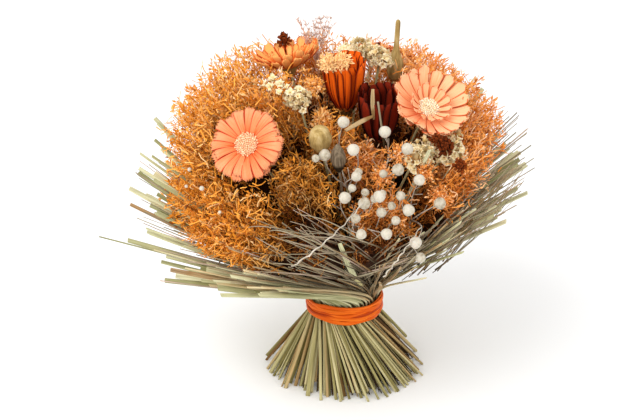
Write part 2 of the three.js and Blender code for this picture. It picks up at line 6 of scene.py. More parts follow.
import bpy
import numpy as np
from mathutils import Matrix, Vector


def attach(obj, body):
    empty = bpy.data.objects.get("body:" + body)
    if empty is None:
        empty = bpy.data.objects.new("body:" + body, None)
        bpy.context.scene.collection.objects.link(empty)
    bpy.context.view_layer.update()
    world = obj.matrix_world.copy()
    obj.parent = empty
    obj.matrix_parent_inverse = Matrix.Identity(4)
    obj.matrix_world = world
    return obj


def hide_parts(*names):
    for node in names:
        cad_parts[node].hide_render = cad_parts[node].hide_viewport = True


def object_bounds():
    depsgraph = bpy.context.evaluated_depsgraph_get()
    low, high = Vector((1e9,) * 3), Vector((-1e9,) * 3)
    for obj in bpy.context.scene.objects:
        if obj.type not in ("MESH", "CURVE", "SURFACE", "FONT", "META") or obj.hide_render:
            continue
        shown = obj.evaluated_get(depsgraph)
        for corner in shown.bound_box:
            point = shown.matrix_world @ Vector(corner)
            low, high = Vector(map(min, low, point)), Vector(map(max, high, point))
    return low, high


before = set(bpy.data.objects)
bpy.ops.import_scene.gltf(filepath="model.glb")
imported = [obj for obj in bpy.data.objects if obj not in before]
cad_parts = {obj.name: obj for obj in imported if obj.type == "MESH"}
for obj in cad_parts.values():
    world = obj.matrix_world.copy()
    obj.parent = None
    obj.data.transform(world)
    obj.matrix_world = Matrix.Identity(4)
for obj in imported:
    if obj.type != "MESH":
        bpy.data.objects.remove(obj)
cad_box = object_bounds()

# Straw sheaves
# Eight sheaves of cut straw stand round the bundle: broad flat blades, round stalks and thin grey stems. They
# run from their cut feet through the tie and out into the collar. The bundle is wrung, so all of them slant.

UP = np.array([0, 0, 1.0])
GOLDEN_ANGLE = np.pi * (3 - np.sqrt(5))
WAIST_LOW, WAIST_HIGH = 0.047, 0.0635
WAIST_RADIUS, HEART_RADIUS = 0.027, 0.0163
LEG_SPREAD, LEG_STEPS = 2.4, 4
LEG_TWIST, CROWN_TWIST = np.radians(30), np.radians(-70)
DROOP_TOWARDS = np.radians(178)
COLLAR_DROOP = np.radians(9.5)
SHEAF_ANGLE = np.pi / 4
BEND_OVER_TIE = 0.006  # how far over the tie the outer stems bend
BEND_IN_MIDDLE = 0.024  # how much further over it the middle stem bends
FACE_TURN = 0.8  # how far blades at the sides turn their faces up and to the front
BOX_MARGIN = 0.003
STRAW_HOLE, STEM_HOLE = 0.003, 0.002  # how deep the holes in the cut ends are
FRONT_SHEAF, FRONT_PARTING = 7, np.radians(360 - 94)


def chance(i, k):
    """A fixed number from 0 to 1 for item i of draw k: the fraction left of a large sine."""
    x = np.sin(np.asarray(i) * 12.9898 + k * 78.233) * 43758.5453
    return x - np.floor(x)


def jitter(i, k, amount):
    """A fixed number from -amount to amount for item i of draw k."""
    return (chance(i, k) * 2 - 1) * amount


def stray(i, draws, amount):
    """A fixed offset for item i from three draws, of up to an amount each way."""
    return np.stack([jitter(i, k, amount) for k in draws], -1)


def mix(a, b, share):
    """The value at a share of the way from a to b."""
    return a + (b - a) * share


def unit(v):
    """Vectors scaled to length 1."""
    return v / np.maximum(np.linalg.norm(v, axis=-1, keepdims=True), 1e-12)


def polar(radius, angle, height=0.0):
    """Points at a radius and an angle round the upright axis."""
    radius, angle, height = np.broadcast_arrays(radius, angle, height)
    return np.stack([radius * np.cos(angle), radius * np.sin(angle), height], -1)


def leaning(azimuth, lean):
    """Directions that lean from upright towards an azimuth."""
    return polar(np.sin(lean), azimuth, np.cos(lean))


def crown_curve(lane, end, share):
    """Points on each stem's way from the waist: a cubic curve that leaves the tie upright and bends."""
    out = np.linalg.norm(lane[..., :2], axis=-1, keepdims=True) / HEART_RADIUS
    start = lane * [1, 1, 0] + UP * (WAIST_HIGH - 0.003)
    bend_high = BEND_OVER_TIE + BEND_IN_MIDDLE * np.maximum(0, 1 - out)
    bend = lane * [1.05, 1.05, 0] + UP * (WAIST_HIGH + bend_high)
    handle = mix(bend, end, 0.3)
    t = np.asarray(share)[..., None]
    s = 1 - t
    return s**3 * start + 3 * s * s * t * bend + 3 * s * t * t * handle + t**3 * end


def collar_lean(degrees, azimuth):
    """Leans in radians: the collar droops at the left and is raised at the right."""
    return np.radians(degrees - 1.5) + COLLAR_DROOP * np.cos(azimuth - DROOP_TOWARDS)


def stem_path(lane, end, foot_height=0.0, reach=LEG_SPREAD, twist=LEG_TWIST, crown_steps=10):
    """Whole stems (N, S, 3): straight from the foot to the waist, then upright, then the crown curve."""
    radius, angle = np.hypot(lane[:, 0], lane[:, 1]), np.arctan2(lane[:, 1], lane[:, 0])
    raised = 1 - np.reshape(foot_height, (-1, 1, 1)) / WAIST_LOW
    down = np.linspace(1, 0, LEG_STEPS + 1)[None, :, None] * raised
    spread = polar(radius * reach, angle + twist)
    leg = mix(lane[:, None], spread[:, None], down)
    leg[..., 2] = (WAIST_LOW * (1 - down))[..., 0]
    crown = crown_curve(lane[:, None], end[:, None], np.linspace(0.02, 1, crown_steps)[None])
    return np.concatenate([leg, crown], 1)


class Shape:
    """Closed surfaces: vertices (n, 3), faces (m, k), and for each vertex a grain, a tone and a depth.

    The grain is its place on the straightened piece, the tone is a draw for the whole of each small part, and
    the depth runs from 0 at a root to 1 at a tip.
    """

    def __init__(self, vertices, faces, grain, tone, depth):
        self.vertices = vertices.reshape(-1, 3)
        self.faces = faces
        lead = vertices.shape[:-1]
        self.grain = np.broadcast_to(grain, (*lead, 3)).reshape(-1, 3)
        self.tone = np.broadcast_to(tone, lead).ravel()
        self.depth = np.broadcast_to(depth, lead).ravel()

    def at_depth(self, depth):
        """The same shape with one depth all over, or a depth for each vertex."""
        self.depth = np.broadcast_to(depth, self.depth.shape)
        return self


def together(shapes):
    """Several shapes as one."""
    starts = np.cumsum([0] + [len(s.vertices) for s in shapes])
    faces = [f + start for s, start in zip(shapes, starts) for f in s.faces]
    names = ("vertices", "grain", "tone", "depth")
    vertices, *rest = (np.concatenate([getattr(s, name) for s in shapes]) for name in names)
    return Shape(vertices, faces, *rest)


def grid_faces(count, rows, columns, wrap):
    """Quads over count grids of rows by columns; wrap closes each row on itself."""
    r, c = np.arange(rows - 1)[:, None], np.arange(columns if wrap else columns - 1)[None]
    low, high, beside = r * columns, (r + 1) * columns, (c + 1) % columns
    cell = np.stack([low + c, low + beside, high + beside, high + c], -1)
    return (cell.reshape(1, -1, 4) + np.arange(count)[:, None, None] * rows * columns).reshape(-1, 4)


def sweep(path, across, half_width, half_depth, sides, tone, hollow=0.0):
    """Flattened tubes. An ellipse, half_width by half_depth, is carried along each path (N, S, 3).

    The crosswise direction at the tip is carried back to the foot without twist. Where hollow is a depth, the
    foot is cut level with the table and has a hole of that depth, as a cut straw has.
    """
    count, steps = path.shape[:2]
    along = unit(np.gradient(path, axis=1))
    across_at = np.empty_like(path)
    carried = np.broadcast_to(across, (count, 3))
    for step in range(steps - 1, -1, -1):
        carried = unit(carried - along[:, step] * np.sum(carried * along[:, step], -1, keepdims=True))
        across_at[:, step] = carried
    upper_at = np.cross(along, across_at)
    angle = np.arange(sides) * 2 * np.pi / sides
    half_width = np.broadcast_to(half_width, (count, steps))[..., None, None]
    half_depth = np.broadcast_to(half_depth, (count, steps))[..., None, None]
    wide, deep = half_width * np.cos(angle)[:, None], half_depth * np.sin(angle)[:, None]
    rings = path[:, :, None] + wide * across_at[:, :, None] + deep * upper_at[:, :, None]
    lengths = np.linalg.norm(np.diff(path, axis=1), axis=-1)
    run = np.concatenate([np.zeros((count, 1)), np.cumsum(lengths, 1)], 1)
    run_at = np.broadcast_to(run[..., None, None], wide.shape)
    grain = np.concatenate([wide, deep, run_at], -1)
    depth = np.broadcast_to(np.linspace(0, 1, steps)[None, :, None], rings.shape[:-1])
    if hollow:
        rim = mix(path[:, :1, None], rings[:, :1], 0.6)
        floor = rim + along[:, :1, None] * hollow
        rings = np.concatenate([floor, rim, rings], 1)
        rings[..., 2] = np.maximum(rings[..., 2], 0)
        grain = np.concatenate([grain[:, :1], grain[:, :1], grain], 1)
        depth = np.concatenate([depth[:, :1], depth[:, :1], depth], 1)
        steps += 2
    starts = np.arange(count)[:, None] * steps * sides
    ends = [starts + np.arange(sides)[::-1], starts + (steps - 1) * sides + np.arange(sides)]
    grain = grain + np.reshape(tone, (-1, 1, 1, 1)) * [0.7, 1.3, 2.9]
    faces = [grid_faces(count, steps, sides, True), *ends]
    return Shape(rings, faces, grain, np.reshape(tone, (-1, 1, 1)), depth)


def straws_of_sheaf(sheaf):
    """The solids' own seven straws of a sheaf: each row has a radius, a lean, a number and a width."""
    rows = np.array([(0.0191, 58, 3, 0.0034), (0.0222, 61, 2, 0.004), (0.0251, 64.5, 2, 0.0048)])
    radius, lean, number, width = rows.T
    row = np.repeat([0, 1, 2], number.astype(int))
    place = np.concatenate([(np.arange(n) + 0.5) / n for n in number])
    i = sheaf * len(row) + np.arange(len(row))
    angle = (sheaf + place) * SHEAF_ANGLE
    azimuth = angle + CROWN_TWIST + np.radians(jitter(i, 1, 1.5))
    awn = i % 19 == 3
    width = np.where(awn, 0.0016, width[row] * mix(0.8, 1.1, chance(i, 4)))
    ends_high = (radius[row] > 0.024) & (chance(i, 5) > 0.7)
    return dict(
        radius=radius[row], angle=angle, azimuth=azimuth, width=width,
        lean=collar_lean(lean[row] + jitter(i, 2, 2), azimuth),
        length=np.where(awn, 0.194, mix(0.146, 0.178, chance(i, 3))),
        raised=np.where(ends_high, mix(0.003, 0.008, chance(i, 6)), 0),
        depth=width * mix(0.22, 0.45, chance(i, 9)),
        tone=chance(i, 10) * 0.68,
        leg=mix(0.0024, 0.0036, chance(i, 8)),
    )


def more_straws(sheaf, draw, count, lean, length, radius, width, flatness, tone):
    """More straws between those: each range is drawn from. The lean is in degrees, before the droop."""
    i = sheaf * 64 + np.arange(count) + draw * 1000
    share = chance(i, 1)
    angle = (sheaf + (np.arange(count) + chance(i, 2)) / count) * SHEAF_ANGLE
    azimuth = angle + CROWN_TWIST + np.radians(jitter(i, 3, 7))
    width = mix(*width, chance(i, 6))
    return dict(
        radius=mix(*radius, share), angle=angle, azimuth=azimuth, width=width,
        lean=collar_lean(mix(*lean, mix(share, chance(i, 4), 0.5)), azimuth),
        length=mix(*length, chance(i, 5)),
        raised=np.where(chance(i, 7) > 0.8, mix(0.002, 0.007, chance(i, 8)), 0),
        depth=width * flatness,
        tone=mix(*tone, chance(i, 9)),
        leg=np.clip(width * mix(0.3, 0.6, chance(i, 10)), 0.0011, 0.0024),
    )


def bundle(straws, sides):
    """Swept stems from foot to tip, flat in the collar and rounder in the legs."""
    lane = polar(straws["radius"], straws["angle"])
    way = leaning(straws["azimuth"], straws["lean"])
    furthest = (cad_box[1][0] - BOX_MARGIN) / np.maximum(way[:, 0], 0.05)
    tip = way * np.minimum(straws["length"], furthest)[:, None] + UP * WAIST_HIGH
    item = np.arange(len(lane))
    reach, twist = LEG_SPREAD * (1 + jitter(item, 74, 0.04)), LEG_TWIST + jitter(item, 75, 0.06)
    path = stem_path(lane, tip, straws["raised"], reach, twist)
    steps = path.shape[1]
    bow = np.clip(np.linspace(-0.5, 1, steps), 0, 1)[None, :, None] ** 2
    level = straws["azimuth"] + np.pi / 2
    sag = polar(jitter(item, 71, 0.005), level, jitter(item, 72, 0.006))
    path = path + bow * (1 - bow) * 2 * sag[:, None]
    crown = np.clip(np.linspace(-0.7, 1.3, steps), 0, 1)
    half_width = mix(straws["leg"][:, None], straws["width"][:, None], crown) / 2
    half_depth = mix(straws["leg"][:, None] * 0.7, straws["depth"][:, None], crown) / 2
    squeeze = 1 - 0.35 * np.exp(-(((path[..., 2] - WAIST_HIGH + 0.008) / 0.012) ** 2))
    taper = 1 - 0.25 * np.clip(np.linspace(-4, 1, steps), 0, 1) ** 2
    tilt = FACE_TURN * np.cos(straws["azimuth"]) + jitter(item + straws["tone"] * 1000, 73, 0.45)
    tilt = tilt[:, None]
    across = unit(polar(1.0, level) * np.cos(tilt) + UP * np.sin(tilt))
    size = squeeze * taper
    half_width, half_depth = half_width * size, half_depth * size
    return sweep(path, across, half_width, half_depth, sides, straws["tone"], hollow=STRAW_HOLE)


class Shade:
    """A socket in a material's node tree. Arithmetic on it adds Math nodes, and make() adds any other."""

    def __init__(self, tree, socket=None):
        self.tree = tree
        self.socket = socket

    def make(self, kind, settings=None, sockets=None, output=0):
        """Adds a node of a kind: its settings are set first, then the values or links of its sockets."""
        node = self.tree.nodes.new(kind)
        for name, value in (settings or {}).items():
            if name == "stops":
                for at, colour in value[: len(value) - 2]:
                    node.color_ramp.elements.new(at)
                for element, (at, colour) in zip(node.color_ramp.elements, value):
                    element.position = at
                    element.color = colour
            else:
                setattr(node, name, value)
        for key, value in (sockets or {}).items():
            if isinstance(value, Shade):
                self.tree.links.new(value.socket, node.inputs[key])
            else:
                node.inputs[key].default_value = value
        return Shade(self.tree, node.outputs[output])

    def maths(self, operation, *values):
        return self.make("ShaderNodeMath", {"operation": operation}, dict(enumerate(values)))

    def __add__(self, other):
        return self.maths("ADD", self, other)

    def __sub__(self, other):
        return self.maths("SUBTRACT", self, other)

    def __rsub__(self, other):
        return self.maths("SUBTRACT", other, self)

    def __mul__(self, other):
        return self.maths("MULTIPLY", self, other)

    def __truediv__(self, other):
        return self.maths("DIVIDE", self, other)

    def attribute(self, name, output="Fac"):
        """A value that the mesh holds for each vertex."""
        return self.make("ShaderNodeAttribute", {"attribute_name": name}, output=output)

    def noise(self, scale, detail=2.0, stretch=(1, 1, 1)):
        """Noise over the grain, stretched by a scale for each direction."""
        grain = self.attribute("grain", "Vector")
        at = self.make("ShaderNodeMapping", {}, {"Vector": grain, "Scale": stretch})
        return self.make("ShaderNodeTexNoise", {}, {"Vector": at, "Scale": scale, "Detail": detail})

    def ramp(self, factor, *stops):
        """Colours along a factor; each stop is a place from 0 to 1 and a colour."""
        stops = [(at, ink(code)) for at, code in stops]
        return self.make("ShaderNodeValToRGB", {"stops": stops}, {"Fac": factor})

    def blend(self, a, b, factor, kind="MIX"):
        """One colour laid over another."""
        colours = {0: factor, 6: a, 7: b}
        return self.make("ShaderNodeMix", {"data_type": "RGBA", "blend_type": kind}, colours, output=2)

    def clamp(self, value):
        """A value held between 0 and 1."""
        return self.make("ShaderNodeClamp", {}, {"Value": value})


def ink(code):
    """A colour given as six hexadecimal digits, in the linear values that shaders use."""
    shares = np.array([int(code[k : k + 2], 16) / 255 for k in (0, 2, 4)])
    linear = np.where(shares > 0.04045, ((shares + 0.055) / 1.055) ** 2.4, shares / 12.92)
    return (*linear.tolist(), 1.0)


DRY_SHINE = 0.12  # the shader's specular level: dry plants shine little
LIGHT_REACH = (0.002, 0.001, 0.0005)  # how far red, green and blue light spread inside a petal


def finish_of(name, recipe, roughness=0.85, bump_depth=0.0002, subsurface=0.0):
    """A material. The recipe takes a Shade and gives the base colour and the bump's height from 0 to 1."""
    material = bpy.data.materials.new(name)
    material.use_nodes = True
    shader = material.node_tree.nodes["Principled BSDF"]
    shade = Shade(material.node_tree)
    colour, height = recipe(shade)
    bump = shade.make("ShaderNodeBump", {}, {"Height": height, "Distance": bump_depth, "Strength": 1.0})
    material.node_tree.links.new(colour.socket, shader.inputs["Base Color"])
    material.node_tree.links.new(bump.socket, shader.inputs["Normal"])
    shader.inputs["Roughness"].default_value = roughness
    shader.inputs["Specular IOR Level"].default_value = DRY_SHINE
    shader.inputs["Subsurface Weight"].default_value = subsurface
    shader.inputs["Subsurface Radius"].default_value = LIGHT_REACH
    return material


def put(name, data):
    """An object for some data, in the scene."""
    thing = bpy.data.objects.new(name, data)
    bpy.context.scene.collection.objects.link(thing)
    return thing


def add_piece(name, shape, material, slot, *nodes, smooth=True):
    """Puts a shape into a mesh object, which rides on the one body and stands for the named nodes."""
    mesh = bpy.data.meshes.new(name)
    mesh.vertices.add(len(shape.vertices))
    mesh.vertices.foreach_set("co", shape.vertices.astype(np.float32).ravel())
    corners = np.concatenate([f.ravel() for f in shape.faces]).astype(np.int32)
    sizes = np.concatenate([np.full(len(f), f.shape[1]) for f in shape.faces])
    starts = np.concatenate([[0], np.cumsum(sizes)[:-1]]).astype(np.int32)
    mesh.loops.add(len(corners))
    mesh.loops.foreach_set("vertex_index", corners)
    mesh.polygons.add(len(sizes))
    mesh.polygons.foreach_set("loop_start", starts)
    mesh.update(calc_edges=True)
    mesh.polygons.foreach_set("use_smooth", np.full(len(sizes), smooth))
    mesh.attributes.new("grain", "FLOAT_VECTOR", "POINT").data.foreach_set("vector", shape.grain.ravel())
    for attribute in ("tone", "depth"):
        values = getattr(shape, attribute).astype(np.float32)
        mesh.attributes.new(attribute, "FLOAT", "POINT").data.foreach_set("value", values)
    mesh.materials.append(material)
    piece = put(name, mesh)
    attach(piece, "root")
    if nodes:
        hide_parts(*nodes)


def in_leg(shade):
    """From 1 in the legs of a stem to 0 in its crown: the share of painted shade that darkens the legs."""
    return shade.clamp((0.42 - shade.attribute("depth")) * 8)


def straw_recipe(shade):
    """Sage, khaki, tan and grey straw by tone, streaked along its fibres, darker between the ribs.

    In the legs, painted shade darkens the thinner straws, as the shade between them.
    """
    tone = shade.attribute("tone")
    fibres = shade.noise(900, 3, (1, 1, 0.04))
    patches = shade.noise(60, 2, (1, 1, 0.5))
    colour = shade.ramp(
        tone + (patches - 0.5) * 0.25,
        (0.0, "8A8756"), (0.14, "B4B184"), (0.32, "CBC89E"), (0.5, "D8D2AC"), (0.6, "D9C092"),
        (0.69, "A8845A"), (0.78, "ADA288"), (0.88, "8A7E64"), (1.0, "CCB2A0"),
    )
    streaks = shade.ramp(fibres, (0.3, "9C9880"), (0.6, "FFFFFF"))
    streaked = shade.blend(colour, streaks, 0.55, "MULTIPLY")
    # Painted shade: in the legs the straws of higher tones, the thinner ones, are darkened.
    legs = shade.ramp(tone, (0.0, "E8DAC0"), (0.5, "FFF8E8"), (0.66, "C0AC90"), (0.74, "6E5E48"))
    return shade.blend(streaked, legs, in_leg(shade), "MULTIPLY"), fibres


straw_finish = finish_of("straw", straw_recipe, bump_depth=0.00025)
# For each sheaf: the number, leans and lengths of its broad blades, then those of its thin stems, then how
# many tall blades rise through the foliage. Most blades are at the left and the front, and a brush of thin
# stems stands at the right.
SHEAVES = (
    ((10, (57, 64), (0.13, 0.17)), (84, (54, 65), (0.11, 0.18)), 2),
    ((10, (57, 66), (0.14, 0.178)), (100, (48, 66), (0.14, 0.19)), 5),
    ((7, (55, 64), (0.12, 0.17)), (40, (50, 64), (0.14, 0.186)), 0),
    ((8, (54, 64), (0.12, 0.168)), (14, (46, 60), (0.11, 0.17)), 2),
    ((10, (52, 65), (0.12, 0.176)), (16, (46, 60), (0.12, 0.18)), 5),
    ((18, (44, 64), (0.15, 0.186)), (26, (44, 62), (0.14, 0.19)), 11),
    ((26, (59, 67.5), (0.11, 0.156)), (40, (48, 67), (0.11, 0.178)), 0),
    ((3, (60, 66), (0.11, 0.15)), (44, (38, 60), (0.09, 0.16)), 0),
)
MEDIUM_STRAWS = (8, (52, 63), (0.12, 0.174))
TALL_LEAN, TALL_LENGTH = (36, 47), (0.178, 0.197)
# For broad, medium, thin and tall straws: the radius at the waist, the width, the flatness and the tone.
STRAW_KINDS = (
    ((0.020, 0.0262), (0.0036, 0.0068), 0.2, (0.0, 0.6)),
    ((0.0175, 0.0255), (0.0014, 0.0024), 0.9, (0.1, 0.75)),
    ((0.0168, 0.0235), (0.0006, 0.0013), 0.9, (0.7, 1.0)),
    ((0.0168, 0.019), (0.0024, 0.0046), 0.25, (0.05, 0.6)),
)
SIDES_OF_KINDS = (10, 10, 6, 4, 8)
for sheaf, (broad, thin, tall_count) in enumerate(SHEAVES):
    kinds = [straws_of_sheaf(sheaf)]
    reaches = (broad, MEDIUM_STRAWS, thin, (tall_count, TALL_LEAN, TALL_LENGTH))
    for draw, (reach, kind) in enumerate(zip(reaches, STRAW_KINDS), 1):
        kinds.append(more_straws(sheaf, draw, *reach, *kind))
    if sheaf == FRONT_SHEAF:  # the straws at the very front part to both sides, and are thin
        for straws in kinds[:3]:
            beside = np.sign(straws["azimuth"] - FRONT_PARTING)
            straws["azimuth"] = straws["azimuth"] + beside * np.radians(11)
            straws["width"] = straws["width"] * 0.55
            straws["tone"] = mix(straws["tone"], 0.85, 0.6)
    kinds = [bundle(straws, sides) for straws, sides in zip(kinds, SIDES_OF_KINDS) if len(straws["radius"])]
    name = f"straw_sheaf_{sheaf + 1}"
    add_piece(name, together(kinds), straw_finish, "straw", name)

# Raffia tie
# Orange raffia is wound tightly round the waist and knotted at the back, with two short ends. It is a band of
# flat strands that lie over one another.

KNOT_AZIMUTH = np.radians(100)
TIE_THICKNESS = 0.003
RAFFIA_STRANDS = 11
EDGE_ROOM, LEAST_ROOM = 0.0022, 0.0018  # from the tie's edges to the middle of its outer strands


def raffia_turns():
    """Flat strands round the waist: circles whose height and radius wander slowly, so that they cross."""
    item = np.arange(RAFFIA_STRANDS)[:, None]
    turn = np.linspace(0, 2 * np.pi, 91)[None] + KNOT_AZIMUTH
    middle = mix(WAIST_LOW + EDGE_ROOM, WAIST_HIGH - EDGE_ROOM, (item + 0.5) / RAFFIA_STRANDS)
    wander = 0.0009 * np.sin(2 * turn + item * 2.4) + 0.0005 * np.sin(5 * turn + item * 1.1)
    out = WAIST_RADIUS + mix(0.0011, 0.0022, chance(item, 80)) + 0.0004 * np.sin(3 * turn + item * 4.1)
    path = polar(out, turn, np.clip(middle + wander, WAIST_LOW + LEAST_ROOM, WAIST_HIGH - LEAST_ROOM))
    width = mix(0.0014, 0.0019, chance(item, 81)) * (1 + 0.15 * np.sin(7 * turn + item))
    return sweep(path, UP, width, 0.00065, 8, chance(item[:, 0], 82))


def raffia_knot():
    """The knot: three short loops over each other, and two flat ends that hang from it."""
    middle, out = (WAIST_LOW + WAIST_HIGH) / 2, WAIST_RADIUS + TIE_THICKNESS
    outward, sideways = polar(1.0, KNOT_AZIMUTH), polar(1.0, KNOT_AZIMUTH + np.pi / 2)
    bend = np.linspace(-1.15, 1.15, 15)[None, :, None]
    slant = np.array([-0.7, 0.1, 0.8])[:, None, None]
    direction = sideways * np.sin(slant) + UP * np.cos(slant)
    centre = outward * (out - 0.0018) + UP * middle
    lift = np.array([0.0026, 0.0040, 0.0032])[:, None, None]
    loops = centre + direction * np.sin(bend) * 0.0052 + outward * (np.cos(bend) * lift)
    across = np.cross(direction[:, 0], outward)
    knot = sweep(loops, across, 0.0021, 0.0009, 8, np.array([0.3, 0.6, 0.8]))
    side = np.array([-1.0, 1.0])[:, None]
    run = np.linspace(0, 1, 9)[None]
    angle = KNOT_AZIMUTH + side * run * 0.017 / out
    path = polar(out + 0.001 + 0.002 * run, angle, middle - 0.0085 * run**1.6)
    ends = sweep(path, UP, mix(0.0019, 0.0012, run), 0.0005, 8, np.array([0.2, 0.9]))
    return together([knot, ends])


def raffia_recipe(shade):
    """Bright orange with long fine streaks of deeper orange."""
    streaks = shade.noise(1400, 3, (1, 1, 0.02))
    tone = shade.attribute("tone")
    colour = shade.ramp(streaks * 0.7 + tone * 0.3, (0.25, "A03000"), (0.5, "DC5604"), (0.75, "F47C1C"))
    return colour, streaks


raffia_finish = finish_of("raffia", raffia_recipe, roughness=0.5, bump_depth=0.0003)
add_piece("raffia_tie", together([raffia_turns(), raffia_knot()]), raffia_finish, "raffia", "raffia_tie")

# Blooms
# Four peach everlastings with flat blunt petals round a pale disc, and three rust ones whose petals stand up
# as a cup. Each head sits on its own stem, in a low leafy base, with rings of petals round a dome of stamens.

DOME_CENTRE, DOME_RADIUS, DOME_RISE = 0.15, 0.13, 0.108
LEAN_AT_WAIST_EDGE, DOME_DROOP = np.radians(92), 0.24

lanes = {}  # the lane and the room at the waist of everything that has a stem of its own
kept_clear = []  # rooms round the heads: centre, axis, lowest and highest place on it, and radius at both
stem_ends = {}  # where each stem of the bundle's heart ends


def dome_point(azimuth, lean, share=1.0):
    """Where rays from the waist meet the dome, a flattened ball, or a share of the way there."""
    below = (WAIST_HIGH - DOME_CENTRE) / DOME_RISE
    a = (np.sin(lean) / DOME_RADIUS) ** 2 + (np.cos(lean) / DOME_RISE) ** 2
    b = 2 * np.cos(lean) * below / DOME_RISE
    length = (-b + np.sqrt(b * b - 4 * a * (below * below - 1))) / (2 * a) * share
    return leaning(azimuth, lean) * np.asarray(length)[..., None] + UP * WAIST_HIGH


def on_dome(*places):
    """Points on the dome from azimuths and leans in degrees and shares of the way."""
    azimuth, lean, share = np.array(places, float).T
    return dome_point(np.radians(azimuth), np.radians(lean), share)


def droop_of(share, azimuth):
    """How much more than usual a lane leans, from how far out it is and where it goes."""
    return 1 + DOME_DROOP * share * np.cos(azimuth - DROOP_TOWARDS)


def lane_for(name, azimuth, lean, room):
    """Notes and gives the place in the waist of the stem that leads to an azimuth and a lean in degrees."""
    usual = np.radians(lean) / LEAN_AT_WAIST_EDGE
    share = usual
    for _ in range(6):
        share = usual / droop_of(share, np.radians(azimuth))
    lanes[name] = (polar(share * WAIST_RADIUS, np.radians(azimuth) - CROWN_TWIST), room)
    return lanes[name][0]


def crown_point(lane, share):
    """Points at a share of the way up each lane; past 1 they lie on the ray that leaves the dome there."""
    out = np.linalg.norm(lane[..., :2], axis=-1) / WAIST_RADIUS
    azimuth = np.arctan2(lane[..., 1], lane[..., 0]) + CROWN_TWIST
    lean = out * LEAN_AT_WAIST_EDGE * droop_of(out, azimuth)
    inside = crown_curve(lane, dome_point(azimuth, lean), np.minimum(share, 1))
    return np.where(np.asarray(share)[..., None] > 1, dome_point(azimuth, lean, share), inside)


def scattered(shape, centres, axes, sizes=1.0, spins=0.0, tones=None):
    """Copies of a shape: each spun round its own upright axis, sized, tipped to an axis and moved."""
    centres, axes = np.atleast_2d(centres), np.atleast_2d(axes)
    count = len(centres)
    x, y, z = axes.T
    over = 1 / (1 + z)
    tipped = np.array([
        [1 - x * x * over, -x * y * over, x], [-x * y * over, 1 - y * y * over, y], [-x, -y, z]
    ])
    spins = np.broadcast_to(spins, count)
    c, s, none, one = np.cos(spins), np.sin(spins), np.zeros(count), np.ones(count)
    spun = np.array([[c, -s, none], [s, c, none], [none, none, one]])
    turn = np.einsum("ijn,jkn->nik", tipped, spun)
    local = shape.vertices[None] * np.reshape(np.broadcast_to(sizes, count), (count, 1, 1))
    vertices = np.einsum("nij,nvj->nvi", turn, local) + centres[:, None]
    starts = np.arange(count)[:, None, None] * len(shape.vertices)
    faces = [(f[None] + starts).reshape(-1, f.shape[1]) for f in shape.faces]
    tone = np.broadcast_to(shape.tone, (count, len(shape.tone)))
    if tones is not None:
        tone = np.broadcast_to(np.reshape(tones, (-1, 1)), tone.shape)
    grain = shape.grain[None] + np.arange(count)[:, None, None] * 0.137
    return Shape(vertices, faces, grain, tone, np.broadcast_to(shape.depth, tone.shape))


def leaf_shell(middle, half_width, across, thickness, tone, grain):
    """Closed thin blades. A grid over u, from side to side, and v, from root to tip, is given a back.

    The middle line, half width and crosswise direction are given for each v; u runs from 1 to -1.
    """
    count, rows, columns = middle.shape[:3]
    front = middle + across * half_width[..., None]
    by_row, by_column = np.gradient(front, axis=1), np.gradient(front, axis=2)
    back = front + unit(np.cross(by_row, -by_column)) * thickness
    rings = np.concatenate([front, back[:, :, ::-1]], 2)
    grain = np.concatenate([grain, grain[:, :, ::-1]], 2)
    depth = np.broadcast_to(np.linspace(0, 1, rows)[None, :, None], rings.shape[:-1])
    k = np.arange(columns - 1)
    cap = np.stack([k, k + 1, 2 * columns - 2 - k, 2 * columns - 1 - k], -1)
    starts = np.arange(count)[:, None, None] * rows * 2 * columns
    root = (cap[None, :, ::-1] + starts).reshape(-1, 4)
    tip = (cap[None] + starts + (rows - 1) * 2 * columns).reshape(-1, 4)
    tone = np.broadcast_to(np.reshape(tone, (-1, 1, 1)), rings.shape[:-1])
    return Shape(rings, [grid_faces(count, rows, 2 * columns, True), root, tip], grain, tone, depth)


PETAL_GRAIN = 0.004  # the grain runs from -this to this across any petal
PETAL_MIDDLE = 0.55  # how far along a petal the middle one of its three places is
BLUNT_FROM = 0.86  # how far along it is widest, before its blunt tip
PETAL_THICK = 0.0004


